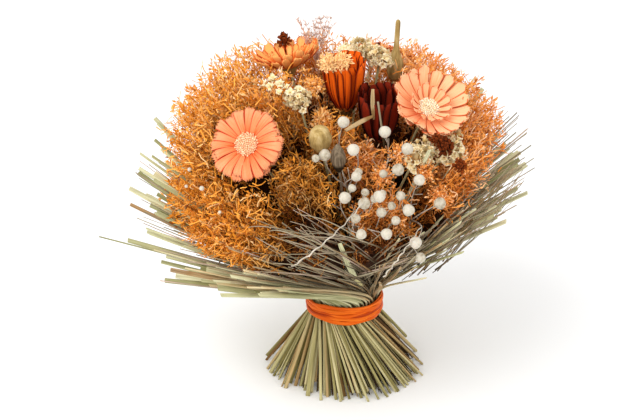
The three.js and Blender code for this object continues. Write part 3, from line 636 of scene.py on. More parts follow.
def petal_ring(count, turn, line, width, thickness, rib, curl, draw, rows=13, columns=7, tone=None,
               root=0.3):
    """A ring of strap petals round +Z, from a middle line of three (radius, height) places.

    Each widens from its root, a share of the width, to a blunt tip. It is ribbed along, cupped across, and
    curls at the tip.
    """
    item = np.arange(count) + draw * 100
    v = np.linspace(0, 1, rows)[None, :, None]
    u = np.linspace(1, -1, columns)[None, None]
    angle = turn + np.arange(count) * 2 * np.pi / count + jitter(item, 41, 0.35 / count)
    angle = angle[:, None, None]
    length = (1 + jitter(item, 42, 0.075))[:, None, None]

    def through(a, b, c):
        left = 1 - PETAL_MIDDLE
        first, second = (1 - v / PETAL_MIDDLE) * (1 - v), v / PETAL_MIDDLE * (1 - v) / left
        return a * first + b * second + c * v * (v - PETAL_MIDDLE) / left

    radius, height = (through(*places) for places in zip(*line))
    out = radius * length
    up = height + (curl + jitter(item, 43, 0.0011))[:, None, None] * (v * length) ** 3
    broad = mix(root, 1, np.clip(v / BLUNT_FROM, 0, 1) ** 0.8)
    blunt = np.sqrt(1 - 0.8 * np.clip((v - BLUNT_FROM) / (1 - BLUNT_FROM), 0, 1) ** 2)
    half = width / 2 * broad * blunt * (1 + jitter(item, 44, 0.08))[:, None, None]
    notch = 0.0006 * np.cos(3 * np.pi * u) * v**6
    ribs = rib * np.cos(u * np.pi * 3) * np.sin(np.pi * np.minimum(v * 1.3, 1) * 0.5)
    lift = 0.0006 * u * u * v + ribs + (jitter(item, 45, 0.0012))[:, None, None] * u * v
    rise, run = np.gradient(height, axis=1), np.gradient(radius, axis=1)
    steep = rise / np.maximum(np.hypot(rise, run), 1e-9)
    middle = polar(out + notch - lift * steep, angle, up + lift * np.sqrt(1 - steep**2))
    across = polar(1.0, angle + np.pi / 2)
    grain = np.stack(np.broadcast_arrays(u * PETAL_GRAIN, 0.37 * item[:, None, None], out), -1)
    tone = chance(item, 46) if tone is None else tone
    half_width = np.broadcast_to(half * u, middle.shape[:-1])
    return leaf_shell(middle, half_width, across, -thickness, tone, grain)


def lathe(profile, sides, tone):
    """A round shape round +Z from (radius, height) places, lowest first."""
    profile = np.array(profile)
    path = (profile[:, 1:] * UP)[None]
    radius = np.maximum(profile[None, :, 0], 1e-5)
    return sweep(path, [1.0, 0, 0], radius, radius, sides, tone)


def ball(radius, half_height, rows, sides, tone, poles=(0.05, 3.09)):
    """A lathe shape close to a ball; the poles are the angles at which its profile begins and ends."""
    angle = np.linspace(*poles, rows)
    return lathe(np.stack([np.sin(angle) * radius, -np.cos(angle) * half_height], -1), sides, tone)


def ribbed(shape, ribs, amount):
    """A round shape with soft ribs: the radius swells by an amount so many times round."""
    angle = np.arctan2(shape.vertices[:, 1], shape.vertices[:, 0])
    shape.vertices[:, :2] *= 1 + amount * np.cos(ribs * angle)[:, None]
    return shape


DISC_TONE, CALYX_TONE = 2.0, 3.0
DISC_RISE, STAMENS = 0.0026, 130
BASE_HEIGHT = 0.010


def stamen_disc(radius, height, count):
    """A low dome set with little blunt tubes in a sunflower's order, which lean out towards the edge."""
    profile = [(radius, -0.0018), (radius * 0.94, 0), (radius * 0.6, height * 0.7), (0, height)]
    tube = [(0.0004, -0.001), (0.0005, 0.0008), (0.00062, 0.0014), (0.00025, 0.00165)]
    i = np.arange(count)
    out = np.sqrt((i + 0.5) / count)
    foot = polar(radius * 0.97 * out, i * GOLDEN_ANGLE, height * (1 - out**2))
    way = leaning(i * GOLDEN_ANGLE, out * 0.8)
    tubes = scattered(lathe(tube, 5, DISC_TONE), foot, way, 1 + jitter(i, 51, 0.3))
    return together([lathe(profile, 20, DISC_TONE), tubes])


def bracts(radius):
    """The base under a head: a cone of small overlapping leaves."""
    low = -BASE_HEIGHT
    cone = [(0.0012, low), (0.002, low + 0.0005), (radius * 0.75, -0.004), (radius * 0.9, -0.0015)]
    parts = [lathe(cone, 14, CALYX_TONE)]
    for k in range(3):
        root = (0.002 + k * 0.0011, low + 0.0022 * k)
        middle = (0.003 + 0.0014 * k, low + 0.003 + 0.0022 * k)
        tip = (0.0042 + k * 0.0016, low + 0.0055 + 0.0016 * k)
        parts.append(petal_ring(
            10, k * 0.31, [root, middle, tip], width=0.0034, thickness=PETAL_THICK, rib=0, curl=0, draw=7 + k,
            rows=5, columns=3, tone=CALYX_TONE,
        ))
    return together(parts)


def petal_recipe(light, middle, deep, line, disc, calyx, edge_shade_from=0.72, streak=0.5):
    """Petals paler to the tip and deeper at the root, streaked along, with painted shade as a deep line down
    each side.

    The disc and the base have their own colours.
    """

    def recipe(shade):
        tone, depth = shade.attribute("tone"), shade.attribute("depth")
        streaks = shade.noise(1100, 2, (1, 1, 0.06))
        place = depth * 0.6 + (streaks - 0.5) * streak + tone * 0.2
        petal = shade.ramp(place, (0.02, deep), (0.2, middle), (0.62, light))
        grain = shade.attribute("grain", "Vector")
        across = shade.make("ShaderNodeSeparateXYZ", {}, {"Vector": grain})
        side = shade.maths("ABSOLUTE", across) / PETAL_GRAIN
        # Painted shade: each petal is darkened along both sides, where it meets the petals beside it.
        lines = shade.ramp(side, (edge_shade_from, "FFFFFF"), (0.98, line))
        edge_shaded = shade.blend(petal, lines, 1.0, "MULTIPLY")
        grains = shade.ramp(shade.noise(700), (0.35, disc[0]), (0.65, disc[1]))
        disced = shade.blend(edge_shaded, grains, shade.maths("GREATER_THAN", tone, DISC_TONE - 0.5))
        in_base = shade.maths("GREATER_THAN", tone, CALYX_TONE - 0.5)
        return shade.blend(disced, ink(calyx), in_base), streaks

    return recipe


def petal_finish(name, *recipe):
    """The finish of one kind of petal."""
    return finish_of(name, petal_recipe(*recipe), roughness=0.8, bump_depth=0.00018, subsurface=0.1)


# The fourth colour of each finish is the painted shade down the sides of its petals.
peach_finish = petal_finish(
    "peach_petal", "F09A6C", "E67A48", "CC4A14", "CC4A10", ("F4B484", "FDDDB8"), "A88A50", 0.76, 0.9
)
pale_peach_finish = petal_finish(
    "pale_peach_petal", "F8BE90", "F4A06C", "DC5A20", "DE7430", ("FADDB0", "FFF6E2"), "A88A50", 0.8, 0.9
)
orange_finish = petal_finish(
    "orange_petal", "FCB468", "F89A4C", "DC6418", "DC681C", ("F4AA60", "FCCC90"), "A88A50", 0.8, 0.8
)
rust_finish = petal_finish(
    "rust_petal", "E86008", "C04206", "5E1400", "6A1600", ("7A2A08", "B35A1C"), "6A4A22", 0.5, 1.6
)
# The rust finish again, painted darker as shade, for the rust bloom that sits deep under the right peach
# bloom.
shaded_rust_finish = petal_finish(
    "shaded_rust_petal", "7A1E06", "5E1402", "300800", "3A0A02", ("4A1404", "6E2A0C"), "4A2A12", 0.5, 1.2
)


def head_place(name, place, share, facing):
    """Where a head sits, at a share of the way up the lane for its place, and its axis, from degrees."""
    return crown_point(lane_for(name, *place), share), leaning(*np.radians(facing))


def add_head(name, shape, centre, axis, material, slot, stem_end, *rooms):
    """Adds a head on its stem, and notes the rooms that it fills: low, high, and the radius at both.

    The stem's end, low and high are heights on the head's axis.
    """
    add_piece(name, scattered(shape, centre, axis), material, slot, name)
    kept_clear.extend((centre, axis, *room) for room in rooms)
    stem_ends[name] = centre + axis * stem_end


def bloom(name, place, facing, share, material, slot, heights, rings, radius=0.0255, disc=0.0085,
          width=0.008, root=0.3, rib=0.00018, curl=-0.0006):
    """One head on its stem's end. The heights are the petals' half way out and at the tip.

    Each ring of petals has a count, a share of the radius, a share of the heights and a drop.
    """
    centre, axis = head_place(name, place, share, facing)
    middle = mix(disc, radius, 0.6)
    parts = [bracts(disc), stamen_disc(disc * 0.94, DISC_RISE, STAMENS)]
    for k, (count, out, up, drop) in enumerate(rings):
        line = [(disc * 0.5 * out, -0.0014 - drop), (middle * out, heights[0] * up - drop),
                (radius * out, heights[1] * up - drop)]
        turn, draw = k * np.pi / count, k + len(lanes)
        parts.append(petal_ring(count, turn, line, width * out, PETAL_THICK, rib, curl, draw, root=root))
    add_head(
        name, together(parts), centre, axis, material, slot, 0.001 - BASE_HEIGHT,
        (-BASE_HEIGHT - 0.001, 0.0, 0.003, radius * 0.75),
        (0.0, max(heights) + 0.006, radius * 0.9, radius),
    )


RUST_SHARE = 0.905
DOMED, BOWL, CUP = (0.0034, 0.0022), (0.0046, 0.0118), (0.0136, 0.037)
FLAT_RINGS = ((19, 1.0, 1.0, 0.0), (20, 0.99, 1.0, 0.0016), (17, 0.95, 0.9, 0.0036))
BOWL_RINGS = ((17, 1.0, 1.0, 0.0), (18, 0.97, 0.9, 0.0022), (13, 0.55, 0.75, -0.0006))
CUP_RINGS = ((8, 1.0, 1.0, 0.0), (8, 0.92, 0.97, -0.0008), (7, 0.72, 0.9, -0.001))
FLAT = dict(slot="peach_petal", heights=DOMED, rings=FLAT_RINGS, curl=-0.0022)
OPEN = dict(slot="peach_petal", heights=BOWL, rings=BOWL_RINGS)
CUPPED = dict(
    slot="rust_petal", heights=CUP, rings=CUP_RINGS, radius=0.0155, disc=0.0065, width=0.0105, root=0.5,
    rib=0.0005, curl=0.0,
)
bloom("peach_bloom_left", (-133, 34, 2.6), (-112, 52), 1.0, peach_finish, width=0.0082, **FLAT)
bloom("peach_bloom_right", (-40, 24, 2.6), (-62, 38), 0.985, pale_peach_finish, width=0.0092, radius=0.0275,
      **OPEN)
bloom("peach_bloom_top", (165, 13.5, 2.2), (150, 14), 0.98, orange_finish, width=0.0074, **OPEN)
bloom("peach_bloom_rear", (72, 33, 2.4), (72, 36), 1.0, peach_finish, **FLAT)
bloom("rust_bloom_front", (-94, 8.5, 1.5), (-100, 6), RUST_SHARE, rust_finish, **CUPPED)
bloom("rust_bloom_deep", (-60, 17.5, 1.5), (-85, 12), 0.87, shaded_rust_finish, **CUPPED)
bloom("rust_bloom_rear", (122, 38, 2.0), (122, 40), 0.82, rust_finish, **CUPPED)

# Statice and the button flower
# Cream everlastings: round heads of papery funnels with five lobes, and on top one small button of tight
# scales.

PAPER = 0.0002  # how thick a papery floret is


def floret(size):
    """A papery funnel with five lobes, round +Z, its throat at the origin."""
    line = [(size * 0.1, 0.0), (size * 0.42, size * 0.7), (size, size * 0.85)]
    return petal_ring(
        5, 0, line, size * 1.1, thickness=PAPER, rib=0.0001, curl=0.0002, draw=3, rows=5, columns=3, root=0.4,
    )


def sunflower(i, count, reach):
    """Directions in a sunflower's order from the top of a ball down; a reach of 2 would cover all of it."""
    return leaning(i * GOLDEN_ANGLE, np.arccos(1 - reach * (i + 0.5) / count))


def cream_recipe(shade):
    """Papery cream, browner in the throat of each floret, with fine creases."""
    tone, depth = shade.attribute("tone"), shade.attribute("depth")
    creases = shade.noise(900, 2, (1, 1, 0.2))
    place = depth * 0.5 + tone * 0.3 + (creases - 0.5) * 0.35
    return shade.ramp(place, (0.02, "C09A58"), (0.22, "DDBE80"), (0.5, "EFD9A8"), (0.8, "F8EAC8")), creases


cream_finish = finish_of("cream_floret", cream_recipe, roughness=0.8, bump_depth=0.00015, subsurface=0.12)


FLORETS_IN_HEAD = 52


def statice(name, place, radius, share=0.97):
    """Small florets in a sunflower's order round a lumpy ball, some missing, each turned its own way."""
    centre, axis = head_place(name, place, share, place[:2])
    i = np.arange(FLORETS_IN_HEAD)
    i = i[chance(i, 63 + len(lanes)) > 0.2]
    outward = sunflower(i, FLORETS_IN_HEAD, 1.5)
    lumps = 0.68 + 0.3 * np.sin(outward @ [3.1, 2.3, 1.7] + len(lanes)) + jitter(i, 64, 0.16)
    facing = unit(outward + stray(i, (65, 66, 67), 0.5))
    places, sizes = outward * radius * lumps[:, None], 1 + jitter(i, 61, 0.3)
    florets = scattered(floret(radius * 0.27), places, facing, sizes, i * 1.7, chance(i, 62))
    heart = ball(radius * 0.4, radius * 0.45, 9, 12, 0.0)
    add_head(name, together([heart, florets]), centre, axis, cream_finish, "cream_floret", -radius * 0.5,
             (-radius * 0.9, radius * 1.1, radius, radius))


statice("statice_top", (4, 7.5, 1.2), 0.009, 0.985)
statice("statice_left", (-128, 18, 1.2), 0.0085)
statice("statice_right", (-60, 33, 1.2), 0.0105)
statice("statice_far_right", (-43, 34, 1.2), 0.0105)
statice("statice_back", (75, 13, 1.2), 0.0095)

BUTTON_RADIUS = 0.006
button_centre, button_axis = head_place("button_flower", (0, 0, 1.4), 1.0, (0, 0))
button_parts = [ball(BUTTON_RADIUS * 0.8, BUTTON_RADIUS * 0.55, 9, 16, 0.4)]
for k in range(5):
    middle = (BUTTON_RADIUS * (0.82 - 0.13 * k), -0.0015 + k * 0.0012)
    tip = (BUTTON_RADIUS * (0.98 - 0.17 * k), 0.0012 + k * 0.0009)
    button_parts.append(petal_ring(
        14 - 2 * k, k * 0.4, [(0.0005, -0.003 + k * 0.0008), middle, tip], width=0.0026, thickness=0.0003,
        rib=0.00008, curl=0.0, draw=30 + k, rows=7, columns=4,
    ))
add_head("button_flower", together(button_parts), button_centre, button_axis, cream_finish, "cream_floret",
         -0.002, (-0.004, 0.006, 0.0075, 0.0075))

# Berries
# White waxy berries, each at the end of a thin grey twig; the twigs of a sprig fork from one stem.

BERRY_RADIUS, TWIG_TONE = 0.0042, 2.0
FORK_SHARE = 0.84
# For each sprig: its place and room, and the places of its berries.
BERRIES = {
    "berry_sprig_high": (
        (-92, 31, 1.1), [(-92, 26, 1.02), (-99, 33, 1), (-88, 33, 1.04), (-87, 37.5, 1)]),
    "berry_sprig_side": (
        (-74, 32, 1.1), [(-67, 33.5, 1.03), (-73, 38, 1.05), (-73, 28, 1)]),
    "berry_sprig_middle": (
        (-91, 42, 1.1), [(-91, 42, 1), (-85, 44, 1.04), (-79.5, 42, 1), (-86, 50, 1.02), (-78, 50, 1)]),
    "berry_sprig_low": (
        (-60, 43, 1.1),
        [(-71, 46, 1.03), (-60.5, 46, 1.04), (-69.5, 53, 1.03), (-68, 56.5, 1.03), (-66, 40.5, 1.04)]),
}


def berry_recipe(shade):
    """Waxy white with faint warm stains; the twigs are grey and scaly."""
    tone = shade.attribute("tone")
    stains = shade.noise(420, 3)
    wax = shade.ramp(stains + tone * 0.4, (0.3, "8F816C"), (0.5, "B2A792"), (0.85, "CCC4B4"))
    bark = shade.ramp(shade.noise(700, 3, (1, 1, 0.2)), (0.3, "8F8370"), (0.7, "DDD3C3"))
    return shade.blend(wax, bark, shade.maths("GREATER_THAN", tone, TWIG_TONE - 0.5)), stains


def straight(starts, ends, steps):
    """Straight paths (N, S, 3) from starts to ends."""
    return mix(starts[:, None], ends[:, None], np.linspace(0, 1, steps)[None, :, None])


def keep_clear(centres, axis, sizes, room):
    """Notes a room round each of several centres: one room, scaled by their sizes."""
    kept_clear.extend((centre, axis, *np.multiply(room, size)) for centre, size in zip(centres, sizes))


berry_finish = finish_of("berry", berry_recipe, roughness=0.6, bump_depth=0.0001, subsurface=0.1)
berry_ball = ribbed(ball(BERRY_RADIUS, BERRY_RADIUS * 0.96, 15, 18, 0.0, (0.06, 3.02)), 3, 0.035)

for name, (place, spots) in BERRIES.items():
    fork = crown_point(lane_for(name, *place), FORK_SHARE)
    ends = on_dome(*spots)
    i = np.arange(len(ends))
    along = unit(ends - fork)
    sideways = unit(np.cross(along, UP))
    crook = sideways * jitter(i, 91, 0.006)[:, None]
    crook = crook + np.cross(along, sideways) * jitter(i, 92, 0.004)[:, None]
    t = np.linspace(0, 1, 9)[None, :, None]
    path = straight(fork - along * 0.0006, ends, 9) + crook[:, None] * np.sin(np.pi * t)
    thick = mix(0.00055, 0.0003, t[..., 0])
    twigs = sweep(path, sideways, thick, thick, 6, TWIG_TONE)
    spur_foot = path[:, [3, 5, 6]].reshape(-1, 3)
    j = np.arange(len(spur_foot))
    spur_way = unit(np.repeat(along, 3, 0) + unit(stray(j, (93, 94, 95), 1)) * 0.9)
    spur_tip = spur_foot + spur_way * mix(0.004, 0.011, chance(j, 96))[:, None]
    spurs = sweep(straight(spur_foot, spur_tip, 4), UP, 0.00022, 0.00022, 4, TWIG_TONE)
    sizes = mix(0.85, 1.05, chance(i, 21))
    balls = scattered(berry_ball, ends, along, sizes, i * 1.3, chance(i, 97))
    add_piece(name, together([twigs, spurs, balls]), berry_finish, "berry", name)
    keep_clear(ends, along[0], sizes, (-0.0055, 0.009, 0.005, 0.0058))
    stem_ends[name] = fork

# Between and behind them sit smaller berries on short spurs of the same sprigs, as places of the dome.
INNER_BERRIES = (
    (-77, 37.0, 0.99), (-72.5, 42.5, 1.01), (-75, 47.5, 1.01), (-86, 36.0, 0.98), (-88.5, 39.5, 0.98),
    (-84, 40.5, 0.98), (-77.5, 40.5, 0.96), (-81, 42.0, 0.98), (-75.5, 44.0, 0.99), (-79, 45.0, 0.98),
    (-87.5, 46.0, 0.98), (-102, 34.5, 1.02),
)
ends = on_dome(*INNER_BERRIES)
i = np.arange(len(ends))
roots = ends * [0.9, 0.86, 1] - UP * 0.016 + stray(i, (22, 23, 24), 0.004)
along = unit(ends - roots)
sizes = mix(0.6, 0.92, chance(i, 25))
# Painted shade: the inner berries get lower tones than the front ones, so they are greyer.
balls = scattered(berry_ball, ends, along, sizes, i * 2.1, chance(i, 26) * 0.6)
twigs = sweep(straight(roots, ends, 5), UP, 0.0003, 0.0003, 5, TWIG_TONE)
add_piece("inner_berries", together([twigs, balls]), berry_finish, "berry")
keep_clear(ends, along[0], sizes, (-0.005, 0.007, 0.005, 0.005))

# Seed pods
# Two dry ribbed pods: a rounded one at the front, and one on top that still has a long stalk.


def pod_recipe(shade):
    """Dull tan, mottled, with fine streaks along."""
    grain = shade.noise(260, 4, (1, 1, 0.3))
    fibres = shade.noise(1200, 2, (1, 1, 0.05))
    place = grain * 0.7 + fibres * 0.3
    return shade.ramp(place, (0.32, "7E6638"), (0.5, "B0935A"), (0.68, "CDB583")), fibres


pod_finish = finish_of("pod", pod_recipe, roughness=0.8, bump_depth=0.0003)


def pod(name, place, share, facing, profile, ribs):
    """A turned pod with soft ribs, on its stem's end. The profile is in millimetres, and is smoothed."""
    centre, axis = head_place(name, place, share, facing)
    profile = np.array(profile) / 1000
    run = np.concatenate([[0], np.cumsum(np.hypot(*np.diff(profile, axis=0).T))])
    fine = np.linspace(0, run[-1], 40)
    smooth = np.stack([np.interp(fine, run, profile[:, k]) for k in (0, 1)], -1)
    kernel = np.array([1, 2, 3, 2, 1]) / 9
    padded = np.pad(smooth, ((2, 2), (0, 0)), "edge")
    smooth = np.stack([np.convolve(padded[:, k], kernel, "valid") for k in (0, 1)], -1)
    shape = ribbed(lathe(smooth, 32, chance(len(lanes), 98)), ribs, 0.045)
    add_head(name, shape, centre, axis, pod_finish, "pod", -0.009,
             (-0.012, 0.012, 0.0095, 0.0095), (0.012, 0.045, 0.0035, 0.0035))


pod("pod_front", (-104, 27, 1.3), 0.965, (-100, 24),
    [(0, -12), (4, -10), (7.6, -3), (8, 3), (6, 9), (3.6, 11), (0, 11.5)], 9)
pod("pod_top", (25, 13, 1.2), 0.96, (10, 3),
    [(0, -11), (4, -9), (6.2, -3), (6, 4), (3.2, 11), (1.9, 16), (1.8, 37), (0, 37)], 7)

# Foliage
# Twenty-one sprays of dyed foliage, golden on the left and salmon on the right. Each is a bush of thin wiry
# twigs with small folded leaflets, round a core of older twigs that is painted nearly black as shade, and
# keeps to its own share of the dome.

GAP = 0.0003
MOST_ROOM = 0.0042
EDGE_SIDES, REACH_SIDES = 24, 8
GOLDEN = {
    1: (-170, 55.5, 2.6), 2: (-148, 56.5, 2.4), 3: (-128, 54, 2.4), 4: (-109, 46, 2.5), 5: (-165, 34, 2.6),
    6: (172, 54, 2.6), 7: (152, 35, 2.4), 8: (148, 54, 2.3), 9: (-150, 20, 1.6), 10: (-108, 18, 1.3),
    11: (-114, 36.5, 1.3),
}
SALMON = {
    1: (-38, 41, 2.4), 2: (-12, 36, 2.8), 3: (6, 21, 2.4), 4: (19, 36, 2.7), 5: (50, 39, 2.6),
    6: (84, 47, 2.5), 7: (44, 21, 2.3), 8: (112, 22, 2.3), 9: (-78, 46, 2.6), 10: (-79, 24, 1.3),
}
TOP_OF = {
    "golden_spray_5": 1.09, "golden_spray_7": 1.06, "golden_spray_10": 0.92, "golden_spray_11": 0.96,
    "salmon_spray_9": 0.94, "salmon_spray_10": 0.9,
}  # how far up its lane a spray ends, where that isn't 1
for colour, places in (("golden", GOLDEN), ("salmon", SALMON)):
    for number, place in places.items():
        lane_for(f"{colour}_spray_{number}", *place)


def cell_planes(name):
    """The lines that bound a spray's cell in the waist: the heart's edge, its reach and its neighbours."""
    lane, room = lanes[name]
    edge = (np.arange(EDGE_SIDES) + 0.5) * 2 * np.pi / EDGE_SIDES
    reach = np.arange(REACH_SIDES) * 2 * np.pi / REACH_SIDES
    others = [other for key, other in lanes.items() if key != name]
    apart = np.array([other[0] - lane for other in others])
    distance = np.linalg.norm(apart, axis=-1)
    rooms = np.array([other[1] for other in others]) / 1000
    shares = (distance**2 + (room / 1000) ** 2 - rooms**2) / (2 * distance)
    directions = np.concatenate([polar(1.0, edge), polar(1.0, reach), unit(apart)])
    limits = np.concatenate([
        np.full(EDGE_SIDES, (HEART_RADIUS - GAP / 2) * np.cos(np.pi / EDGE_SIDES)),
        polar(1.0, reach) @ lane + min(MOST_ROOM, room * 1.6 / 1000),
        unit(apart) @ lane + shares - GAP / 2,
    ])
    return directions, limits


def in_cell(lane, planes, angle, size):
    """Points of a cell at an angle round its lane; size 1 is on the cell's edge."""
    directions, limits = planes
    way = polar(1.0, angle)
    slope = way @ directions.T
    room = limits - directions @ lane
    reach = np.min(np.where(slope > 1e-6, room / np.maximum(slope, 1e-6), np.inf), -1)
    return lane + way * (reach * size)[..., None]


def clear_of_heads(points):
    """True where a point is in none of the rooms round the heads, and inside the frame's own box."""
    free = np.all((points > np.array(cad_box[0])) & (points < np.array(cad_box[1])), -1)
    for centre, axis, low, high, radius_low, radius_high in kept_clear:
        offset = points - centre
        height = offset @ axis
        out = np.linalg.norm(offset - height[..., None] * axis, axis=-1)
        share = np.clip((height - low) / (high - low), 0, 1)
        free &= ~((height > low) & (height < high) & (out < mix(radius_low, radius_high, share)))
    return free


def clumps(points, distance):
    """Smooth numbers from about -1 to 1 that change over a distance: three waves, each bent by the next."""
    turn = np.array([[0.80, 0.36, -0.48], [-0.60, 0.48, -0.64], [0.0, 0.80, 0.60]])
    turned = points @ turn * (2 * np.pi / distance)
    return np.mean(np.sin(turned + 1.8 * np.sin(0.7 * turned[..., [1, 2, 0]])), -1) * 1.5


def from_waist(points):
    """Directions from the middle of the waist's top to points."""
    return unit(points - UP * WAIST_HIGH)


def aim_of(points):
    """The azimuths in radians and the leans in degrees of those directions."""
    x, y, z = np.moveaxis(points, -1, 0)
    return np.arctan2(y, x), np.degrees(np.arctan2(np.hypot(x, y), z - WAIST_HIGH))


def hollow_share(points):
    """From 0 to 1 into the dark hollow that the foliage leaves over the tie, in the middle of the front.

    It begins higher at the left than at the right, and fades out further round on the left.
    """
    azimuth, lean = aim_of(points)
    azimuth = np.degrees(azimuth)
    edge = mix(40, 44.5, np.clip((azimuth + 100) / 30, 0, 1)) + 3 * clumps(points, 0.03)
    beside = np.clip((azimuth + 128) / 20, 0, 1) * np.clip((-46 - azimuth) / 8, 0, 1)
    return np.clip((lean - edge) / 6, 0, 1) * beside


def low_share(points):
    """From 0 to 1 down the shaded lower half of the front and the left."""
    towards = np.clip(np.cos(aim_of(points)[0] + np.radians(125)) * 1.6, 0, 1)
    return np.clip((0.150 - points[..., 2]) / 0.07, 0, 1) * towards


def nook_share(points):
    """From 0 to 1 into the nook between the left bloom and the front pod, by the angle from it, where painted
    shadow browns the foliage.
    """
    nearness = from_waist(points) @ leaning(np.radians(-111), np.radians(32))
    return np.clip((nearness - np.cos(np.radians(14))) / 0.015, 0, 1)


def shadow(points):
    """How much deeper than it is a point looks: in the hollow and the nook, and low at the front."""
    return 0.6 * hollow_share(points) + 0.42 * low_share(points) + 0.36 * nook_share(points)


def leafy(points, draws):
    """True where foliage grows: above the bare stems of the collar, and in the hollow for small draws."""
    azimuth, lean = aim_of(points)
    bare = 20.5 * np.clip(np.cos(azimuth + np.radians(10)), 0, 1) ** 1.5
    lowest = 61.5 - bare + 3 * clumps(points, 0.02)
    return (lean < lowest) & (draws < 1 - 0.82 * hollow_share(points))


def leaflets(root, tip, width, side, tone, depth):
    """Little folded blades: a root, two corners set a little above each other's plane, and a tip."""
    along = unit(tip - root)
    across = unit(np.cross(side, along))
    middle = mix(root, tip, 0.5) + np.cross(along, across) * width[:, None] * 0.32
    half = across * width[:, None] / 2
    vertices = np.stack([root, middle + half, middle - half, tip], 1)
    face = np.array([[0, 2, 1], [1, 2, 3], [0, 1, 3], [0, 3, 2]])
    faces = (face[None] + np.arange(len(root))[:, None, None] * 4).reshape(-1, 3)
    # Painted shade and light: each leaflet is darker at its root and lighter at its tip.
    shade = depth[:, None] + np.array([-0.2, 0, 0, 0.15])
    grain = np.broadcast_to((root * 7 + np.array([0.1, 0.2, 0.3]))[:, None], vertices.shape)
    return Shape(vertices, [faces], grain, tone[:, None], shade)


def strands_in(name, number, count, low, high):
    """Loose curved strands at all angles in a lane's cell, from a low to a high share of the way up it."""
    lane, planes = lanes[name][0], cell_planes(name)
    i = np.arange(count)
    spot = in_cell(lane, planes, i * GOLDEN_ANGLE + number, mix(0.1, 1.3, np.sqrt((i + 0.5) / count)))
    middle = crown_point(spot, mix(low, high, np.sqrt(chance(i, 20))))
    outward = from_waist(middle)
    way = unit(stray(i, (22, 23, 24), 1) + outward * jitter(i, 25, 0.8)[:, None])
    second = unit(np.cross(way, outward))
    t = np.linspace(-1, 1, 4)[None, :, None]
    reach = mix(0.0022, 0.0068, chance(i, 26) ** 1.5)[:, None, None]
    arch = (0.5 - t**2) * reach * jitter(i, 27, 0.5)[:, None, None]
    path = middle[:, None] + way[:, None] * t * reach + outward[:, None] * arch
    path = path + second[:, None] * np.sin(t * 3 + i[:, None, None]) * reach * 0.12
    free = np.all(clear_of_heads(path), 1) & leafy(middle, chance(i, 18))
    path, second, i = path[free], second[free], i[free]
    thick = mix(0.0003, 0.00055, chance(i, 28))[:, None]
    strands = sweep(path, second, thick, thick * 0.7, 3, mix(0.35, 1.0, chance(i, 29)))
    return strands.at_depth(0.9 - shadow(strands.vertices))


TWIGS_FOR_ROOM, LEAFLETS_ON_TWIG, STRANDS_FOR_ROOM = 52, 56, 100
# The dark core's rings: the share of the way up the lane, and the size in the cell.
CORE_RINGS = np.array([[0.42, 0.2], [0.56, 0.5], [0.68, 0.9], [0.77, 0.98], [0.84, 0.84], [0.88, 0.34]])
CORE_SIDES = 12
# Painted shade: a depth below any other, which gives the core the near-black colour.
CORE_DEPTH = -1.0


def dark_core(lane, planes, top, number):
    """A rough closed body in the heart of a spray, which stands for its oldest twigs and is painted nearly
    black as shade.
    """
    rings, sides = len(CORE_RINGS), np.arange(CORE_SIDES)
    rough = 1 + jitter(np.arange(rings * CORE_SIDES).reshape(rings, CORE_SIDES), number, 0.14)
    turn = np.broadcast_to(sides * 2 * np.pi / CORE_SIDES, rough.shape)
    lanes_at = in_cell(lane, planes, turn, CORE_RINGS[:, 1:] * rough)
    core = crown_point(lanes_at, CORE_RINGS[:, :1] * top * (1 + 0.02 * (rough - 1)))
    ends = [sides[::-1][None], (rings - 1) * CORE_SIDES + sides[None]]
    return Shape(core, [grid_faces(1, rings, CORE_SIDES, True), *ends], core * 3, 0.0, CORE_DEPTH)


